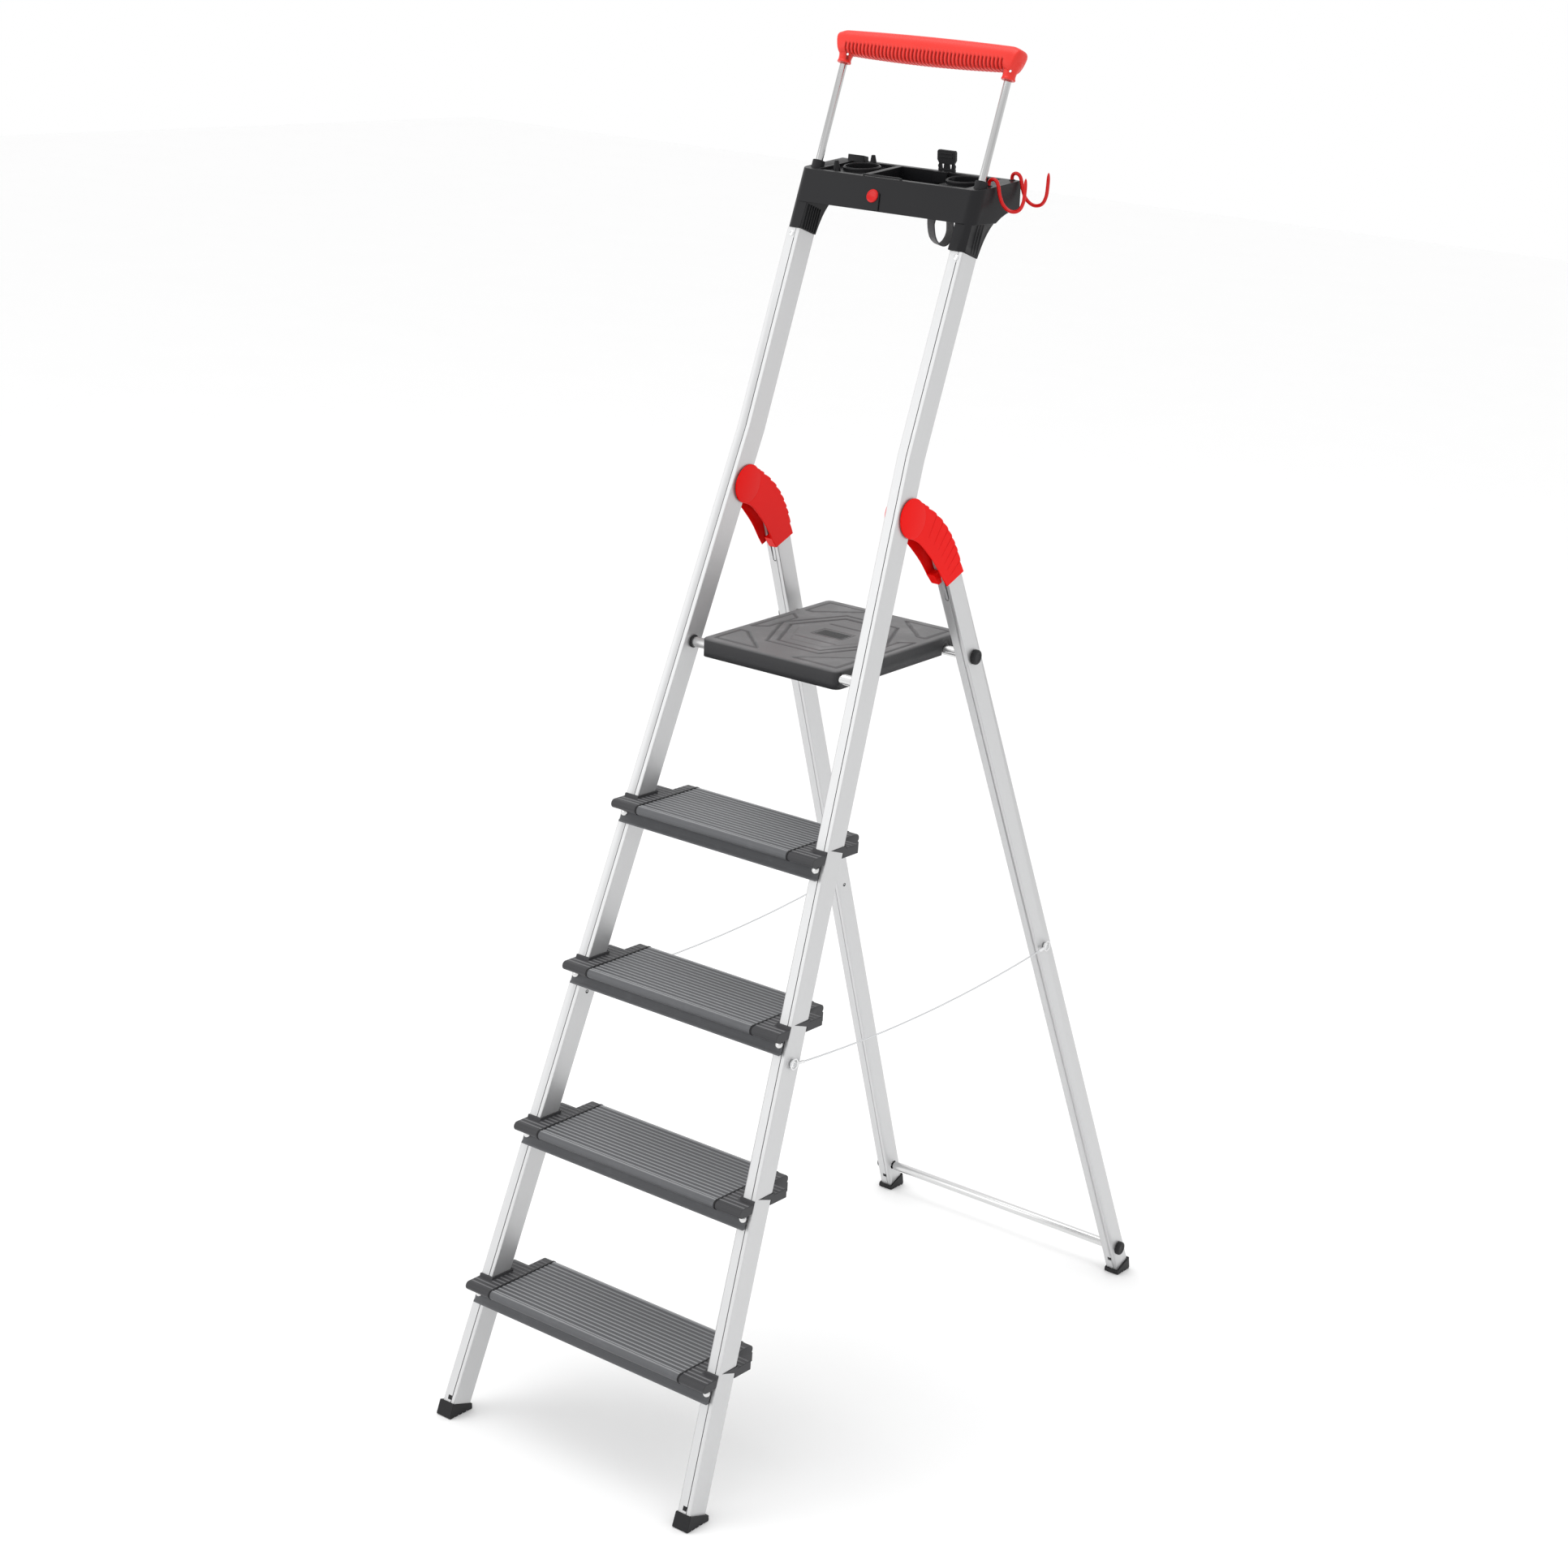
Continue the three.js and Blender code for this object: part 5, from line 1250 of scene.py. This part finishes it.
def eased_back(shell):
    """Moves the upper part of a cover back from the stile's face; the lower end stays on the leg."""
    points, faces = shell
    share = 1 - eased(points[:, 2], 30, 115)
    return points + share[:, None] * np.array([0, DISC_BACK, DISC_DOWN]), faces


def boss(x_from, x_to):
    """A round cheek with a raised, rounded face on the x_to side."""
    sign = 1 if x_to > x_from else -1
    depth = abs(x_to - x_from)
    profile = [
        (0, 0), (0, COVER_DISC - 0.4), (0.4, COVER_DISC), (depth - 0.2, COVER_DISC),
        (depth + 0.4, COVER_DISC - 0.4), (depth + 0.6, COVER_DISC - 1.2), (depth + 0.6, 0),
    ]
    return turned(profile, (x_from, 0, 0), (sign, 0, 0), 72)


# %% Covers, pins and cover lines in painted crease shade
COVER_CLIP = [(36, 0), (43.0, 0), (43.0, -17.5), (30, -17.5)]
curve_back, curve_front = smooth_curve(COVER_BACK, 101), smooth_curve(COVER_FRONT, 101)
half = float(rear_half(HINGE_REAR_ALONG))
low, high = half - STILE_WIDTH - COVER_PLAY, half + 2 * COVER_PLAY
for word, side in SIDES:
    x_outer, x_inner = side * (high + OUTER_WALL), side * (low - INNER_WALL)

    def cover_axes(points, side=side):
        """(x, back, down) from the hinge; x drifts outwards going down, as the leg does."""
        x, behind, down = np.moveaxis(np.asarray(points, float), -1, 0)
        x = x + side * REAR_TAPER * down
        return in_rear(np.stack([x, HINGE_REAR_DEPTH + behind, HINGE_REAR_ALONG - down], -1))

    cheeks = (cover_shell(x_outer, x_inner), boss(side * high, x_outer), boss(side * low, x_inner))
    clip_x = (side * (low - 1), side * (low + 11))
    points, faces = slab(COVER_CLIP, min(clip_x), max(clip_x))
    clip = (points[:, [2, 0, 1]] + [0, 0, COVER_REACH], faces)
    piece(
        f"hinge_cover_{word}_scalloped", [eased_back(cheek) for cheek in cheeks] + [clip], cover_axes,
        "rear", cover_finish, "red_plastic", [f"hinge_cover_{word}"], bevel=0.35, crease=42,
    )
    at = (0, HINGE_REAR_DEPTH, HINGE_REAR_ALONG)
    pin = turned(rod_profile(low - 0.9, high + 0.9, 4), at, (side, 0, 0), 28)
    node = f"hinge_pin_{word}"
    piece(f"{node}_bar", [pin], in_rear, "rear", steel_finish, "steel", [node])
    # Thin darker lines across each cover's face at its scallops: painted shade in the creases.
    lines = []
    for k in range(3, 10):
        i = int(k * 100 / SCALLOPS)
        a = curve_back[i] * 0.97 + curve_front[i] * 0.03
        b = curve_back[i] * 0.3 + curve_front[i] * 0.7
        path = np.column_stack([np.full(12, x_outer), a + (b - a) * np.linspace(0, 1, 12)[:, None]])
        lines.append(eased_back(carried(circle(0.35, 6), path, (1, 0, 0), np.linspace(1, 0.3, 12))))
    name = f"hinge_cover_{word}_lines"
    piece(name, lines, cover_axes, "rear", crease_shade_finish, "red_plastic")
tell("hinge covers")

# %% [markdown]
# ## Feet and collars
# The black feet keep their CAD shape, with its cut sole, and so do the collars round the rods; a
# small rounding on every edge is what a mould leaves.

# %% Feet and collars
for word, side in SIDES:
    softened(f"foot_front_{word}", black_finish, "black_plastic", 0.8)
    softened(f"foot_rear_{word}", black_finish, "black_plastic", 0.8)
    softened(f"rod_collar_{word}", black_finish, "black_plastic", 0.7)
tell("feet and collars")

# %% [markdown]
# ## Tray
# One moulding with a deep bin, two cups and sunk decks. Its CAD copy is rounded all over; the fine
# parts that a mould adds are drawn here: the lip along the front wall, the tab that carries the
# badge, flutes inside the left leg, ridges on the right post, and the cups' rims.

# %% Tray and its trim
softened("tray", tray_finish, "tray_plastic", 0.7)


lip_stops = [(-37, 1, 1.0), (-36, 1, 1.8), (-10, 1, 1.8), (18, 1, 1.8), (20, 1, 0.2), (22, 1, -1.0)]
lip = carried(ellipse(1.1, 1.3, 0.6, 16), smooth_curve(lip_stops, 48), (0, 1, 0))
piece("tray_front_lip", [lip], on_tray, "front", tray_finish, "tray_plastic", crease=60)

TAB = [(-30, 1658), (-3, 1658), (-6.5, 1681), (-22, 1681)]
x, along, share = slab(TAB, 0, 1)[0].T
tab = (np.column_stack([x, -TRAY_OUT - 1.1 + share * 1.6, along]), slab(TAB, 0, 1)[1])
TAB_RIDGE = [(-2.6, -0.8, 1658), (-4.4, -0.9, 1669), (-6.2, -0.8, 1680)]
ridge = carried(circle(1.0, 12), np.array(TAB_RIDGE) - [0, TRAY_OUT, 0], (0, 1, 0))
name = "tray_badge_tab"
piece(name, [tab, ridge], in_front, "front", tray_finish, "tray_plastic", bevel=0.4)

# %% Badge, flutes, ridges and rims
BADGE = [(0, 0), (0, 8.6), (1.3, 8.6), (2.1, 8.0), (2.35, 7.0), (2.1, 6.4), (2.3, 0)]
BADGE_ALONG, FLUTE_X, RIDGE_X = 1676, -115.6, 138
badge = turned(BADGE, (middle_of("tray_badge")[0], -TRAY_OUT - 0.5, BADGE_ALONG), OUT, 56)
name, node = "tray_badge_disc", "tray_badge"
piece(name, [badge], in_front, "front", hook_finish, "red_gloss", [node])

flutes = [
    carried(ellipse(1.5, 1.3, 1, 12), [(FLUTE_X, depth, a) for a in (1624.5, 1640, 1656)], (0, 1, 0))
    for depth in range(5, 31, 5)
]
piece("tray_leg_flutes", flutes, in_front, "front", tray_finish, "tray_plastic", crease=60)
ridges = [
    carried(
        ellipse(1.2, 1.0, 1, 12), [(RIDGE_X, depth, a) for a in (1626, 1650, 1672)], (0, 1, 0),
        [0.8, 1, 0.4],
    )
    for depth in (17, 23, 29)
]
piece("tray_post_ridges", ridges, in_front, "front", tray_finish, "tray_plastic", crease=60)

CUP_X, CUP_BACK, CUP_RADIUS = 81, 55, 22.6
turn = np.linspace(0, TURN, 65)
for word, side in SIDES:
    hoop_x, hoop_back = side * CUP_X + CUP_RADIUS * np.cos(turn), CUP_BACK + CUP_RADIUS * np.sin(turn)
    hoop = np.stack([hoop_x, hoop_back, np.full(65, -0.2)], -1)
    rim = carried(ellipse(1.2, 1.0, 0.8, 12), hoop, (0, 0, 1))
    name = f"tray_cup_rim_{word}"
    piece(name, [rim], on_tray, "front", tray_finish, "tray_plastic", crease=60)
tell("tray and trim")

# %% [markdown]
# ## Strap and buckle
# Flat webbing hangs behind the tray in a loose, slightly turned loop and ends in a side-release
# buckle. The strap is a flat section carried along its route; the loop's turn is a rotation about
# the upright that grows below the tray's floor.

# %% Strap
STRAP_X, STRAP_WIDTH, STRAP_THICK, STRAP_BACK = 24, 20, 1.8, 96
STRAP_TURN = math.radians(-28)
strap_line = [
    (0, -3), (0, -12), (0, -24), (0, -36), (1, -60), (1, -80), (-6, -92),
    (-15, -93), (-23, -84), (-26, -68), (-25, -52), (-22, -38.5),
]
route = smooth_curve([(STRAP_X, STRAP_BACK + b, u) for b, u in strap_line], 120)
band = ellipse(STRAP_WIDTH / 2, STRAP_THICK / 2, 0.35, 32)
strap_points, strap_faces = carried(band, route, (1, 0, 0))
turn_by = STRAP_TURN * eased(-strap_points[:, 2], 40, 66)
LOOP_MIDDLE = STRAP_BACK - 12
dx, db = strap_points[:, 0] - STRAP_X, strap_points[:, 1] - LOOP_MIDDLE
strap_points = np.column_stack([
    STRAP_X + dx * np.cos(turn_by) - db * np.sin(turn_by),
    LOOP_MIDDLE + dx * np.sin(turn_by) + db * np.cos(turn_by),
    strap_points[:, 2],
])
strap = piece(
    "strap_webbing", [(strap_points, strap_faces)], on_tray, "front", webbing_finish, "webbing",
    ["strap"], crease=60,
)
path, places = on_tray(route), places_of(strap)
mapped(strap, path, nearest_step(places[:, 1:], path[:, 1:]), places[:, 0])
print("strap length", round(float(np.linalg.norm(np.diff(route, axis=0), axis=1).sum())), "mm")

# %% [markdown]
# The buckle is a flat female half above and a two-pronged male half below, drawn as outlines and
# given thickness. Rounded edges come from the Bevel modifier.

# %% Buckle
UPPER = [(-11, 8), (11, 8), (14, 13), (14, 23.5), (12.5, 25.5), (-12.5, 25.5), (-14, 23.5), (-14, 13)]
LOWER = [(-12.5, -2.7), (12.5, -2.7), (12.5, 2), (-12.5, 2)]
PRONGS = [[(s * 7.2, 1), (s * 12, 1), (s * 13.2, 5.5), (s * 11.2, 9), (s * 8.4, 9)] for s in (-1, 1)]
CENTRE = [(-5, 1), (5, 1), (4, 9), (-4, 9)]
BARS = [[(-10, low), (10, low), (10, high), (-10, high)] for low, high in ((16, 18), (20.5, 22))]


def standing(outline, front, rear):
    """An outline (x, up) given thickness from back = front to back = rear, on the tray's axes."""
    points, faces = slab(outline, front, rear)
    return np.column_stack([points[:, 0] + STRAP_X, points[:, 2], points[:, 1]]), faces


shells = [standing(UPPER, 93.5, 98.5), standing(LOWER, 93.8, 98.2)]
shells += [standing(p, 94, 97.8) for p in PRONGS] + [standing(CENTRE, 94.4, 97.4)]
shells += [standing(bar, 92.6, 94.2) for bar in BARS]
name, node = "strap_buckle_halves", "strap_buckle"
piece(name, shells, on_tray, "front", black_finish, "black_plastic", [node], bevel=0.5)
tell("strap and buckle")

# %% [markdown]
# ## Hooks
# Red dipped wire: a round section carried along the bent route, with rounded tips.

# %% Hooks
STEM = 130.5
HOOK_LINE = [
    (0, -1.5), (0, 4), (1.8, 7.8), (6.5, 9.2), (11.5, 6.6), (14.3, 0), (16, -9), (20.5, -19.5),
    (28, -26), (37, -28), (46, -24.5), (51.5, -15), (53.5, -2), (54.5, 15),
]
SOCKET_RING = [(-1, 0), (-1, 4.2), (0.6, 4.0), (1.0, 3.2), (1.0, 0)]
for number, behind, body in ((1, 36, "hook_near"), (2, 87, "hook_far")):
    line = smooth_curve([(STEM + out, behind, rise) for out, rise in HOOK_LINE], 110)
    size = np.ones(110)
    size[-6:] = np.sqrt(1 - np.linspace(0, 0.98, 6) ** 2)
    wire = carried(circle(2.3, 20), line, (0, 1, 0), size)
    socket_ring = turned(SOCKET_RING, (STEM, behind, 0), (0, 0, 1), 28)
    node = f"hook_{number}"
    piece(f"{node}_dipped", [wire], on_tray, body, hook_finish, "red_gloss", [node], crease=60)
    piece(f"{node}_socket_ring", [socket_ring], on_tray, "front", tray_finish, "tray_plastic")
tell("hooks")

# %% [markdown]
# ## Hand rail
# Two polished rods carry a soft red grip. The grip is one surface: x runs along it and an angle
# runs round it. Its section is an oval whose halves above and below differ, the underside bows
# down in the middle, and ribs are pressed in below a line along its flank. Near the ends the
# section shrinks as a quarter circle does, so the ends are closed and rounded.

# %% Rods
ROD_RADIUS, ROD_DEPTH, ROD_X = 4.8, 16.6, 127.5
GRIP_HALF, GRIP_TOP, GRIP_LOW, RIB_LINE, RIB_STEP, RIB_DEPTH = 148, 1887, 1857, 1869, 5.9, 2.4
for word, side in SIDES:
    rod = turned(rod_profile(1566, 1874.5, ROD_RADIUS), (side * ROD_X, ROD_DEPTH, 0), (0, 0, 1), 56)
    piece(f"rod_{word}_polished", [rod], in_front, "rail", rod_finish, "steel", [f"rod_{word}"])


# %% Grip and socket shapes
def ribbed(x):
    """One along the ribbed middle of the grip, and zero near its ends."""
    return 1 - eased(np.abs(x), 122, 126)


def grip_shell():
    """Rows along x, columns round the oval; ribs are a rounded square wave in x."""
    rows, columns = 860, 72
    x = np.linspace(-GRIP_HALF, GRIP_HALF, rows)[:, None]
    angle = np.linspace(0, TURN, columns, endpoint=False)[None]
    share = np.abs(x) / GRIP_HALF
    top = GRIP_TOP + 1 - 2.2 * share**2 - 4 * eased(np.abs(x), 128, 150)
    low = GRIP_LOW - 4.5 * (1 - share**2) - 3 * eased(np.abs(x), 122, 140)
    deep = 15 - 1.5 * eased(np.abs(x), 120, 148)
    cos, sin = np.cos(angle), np.sin(angle)
    depth = deep * bulge(cos, 0.62)
    rise = np.where(sin > 0, (top - RIB_LINE) * bulge(sin, 0.72), (RIB_LINE - low) * bulge(sin, 0.85))
    wave = eased(np.abs(x / RIB_STEP % 1 - 0.5), 0.16, 0.3)
    below = 1 - eased(rise, -1.2, 0.2)
    pressed = below * ribbed(x) * RIB_DEPTH * (1 - wave)
    closing = np.sqrt(np.clip(1 - np.clip((np.abs(x) - 140) / 8, 0, 1) ** 3.2, 0.0004, 1))
    length = np.hypot(depth, rise) + 1e-9
    depth = (depth - pressed * depth / length) * closing
    rise = (rise - pressed * rise / length) * closing
    height = np.clip((RIB_LINE + rise - low) / (top - low), 0, 1)
    drawn_in = eased(np.abs(x), 120, 148) * (3 + 9 * (1 - height))
    return closed(np.stack([x - np.sign(x) * drawn_in, ROD_DEPTH + depth, RIB_LINE + rise], -1))


def socket_shell(side):
    """A flared socket: an oval that widens from the rod's opening up into the grip."""
    level = np.linspace(1845, 1868, 30)
    flare = eased(level, 1848, 1866)
    lip = 0.8 * np.exp(-(((level - 1846) / 1.6) ** 2))
    turn = np.arange(48) * TURN / 48
    inward = np.where(-side * np.cos(turn) > 0, 1.0, 0.15)
    half_x = 8.4 + lip[:, None] + flare[:, None] ** 2 * (13 * inward[None] + 3)
    half_d = 8.2 + lip[:, None] + flare[:, None] ** 2 * 5.5
    x, depth = side * ROD_X + half_x * np.cos(turn), ROD_DEPTH + half_d * np.sin(turn)
    return closed(np.stack([x, depth, np.broadcast_to(level[:, None], x.shape)], -1))


# %% Grip and its pins
grip = piece(
    "handle_grip_ribbed", [grip_shell(), socket_shell(-1), socket_shell(1)], in_front, "rail",
    grip_finish, "grip_plastic", ["handle_grip"], crease=70,
)
x, y, z = (places_of(grip) / MM - [0, ORIGIN_Y, 0]).T
along = y * math.sin(FRONT_LEAN) + z * math.cos(FRONT_LEAN)
# Painted shade in the grooves between the ribs, below the rib line.
groove = 1 - eased(np.abs(x / RIB_STEP % 1 - 0.5), 0.14, 0.26)
groove *= (1 - eased(along, RIB_LINE - 2, RIB_LINE)) * ribbed(x)
groove *= eased(along, 1846, 1850)
marked(grip, "groove", groove)
GRIP_PIN = [(0, 0), (0, 1.7), (0.6, 1.6), (0.9, 1.0), (0.9, 0)]
PIN_PLACES = [(x, ROD_DEPTH - 8.6, 1854.5) for x in (-118.3, 133.5)]
pins = [turned(GRIP_PIN, place, OUT, 20) for place in PIN_PLACES]
piece("grip_pins", pins, in_front, "rail", steel_finish, "steel")
tell("hand rail")

# %% [markdown]
# ## Floor and light
# A pale seamless floor, a bright even sky, one large soft lamp in front on the left and another high
# above, so that the stiles' faces differ and every rounded edge has a highlight.

# %% Floor
FLOOR = 14.0
floor_mesh = bpy.data.meshes.new("floor")
corners = [(-FLOOR, -FLOOR, 0), (FLOOR, -FLOOR, 0), (FLOOR, FLOOR, 0), (-FLOOR, FLOOR, 0)]
floor_mesh.from_pydata(corners, [], [(0, 1, 2, 3)])
floor = bpy.data.objects.new("floor", floor_mesh)
bpy.context.scene.collection.objects.link(floor)
paint = Finish("pale_floor", **{"Roughness": 0.7})
speck = paint.noise(3, 3)
paint.set(Base_Color=paint.colour(speck, (0.975, 0.975, 0.975), (0.99, 0.99, 0.99)))
floor_mesh.materials.append(paint.material)

# %% Sky and lamps
world = bpy.data.worlds.new("studio")
bpy.context.scene.world = world
world.use_nodes = True
world.node_tree.nodes["Background"].inputs["Color"].default_value = (1, 1, 1, 1)
world.node_tree.nodes["Background"].inputs["Strength"].default_value = 1.0


def softbox(name, location, target, size, power):
    """A square area lamp that looks at a point."""
    data = bpy.data.lights.new(name, "AREA")
    data.shape, data.size, data.energy = "SQUARE", size, power
    lamp = bpy.data.objects.new(name, data)
    lamp.location = location
    lamp.rotation_mode = "QUATERNION"
    lamp.rotation_quaternion = (Vector(target) - Vector(location)).to_track_quat("-Z", "Y")
    bpy.context.scene.collection.objects.link(lamp)


softbox("key_lamp", (-2.9, -3.9, 2.3), (0, 0, 0.9), 3.0, 30)
softbox("top_lamp", (-0.8, -0.6, 4.6), (0, 0, 0.6), 2.6, 45)
print("lamps:", len(bpy.data.lights))

# %% Sizes and the end
print("pieces made", len(made))
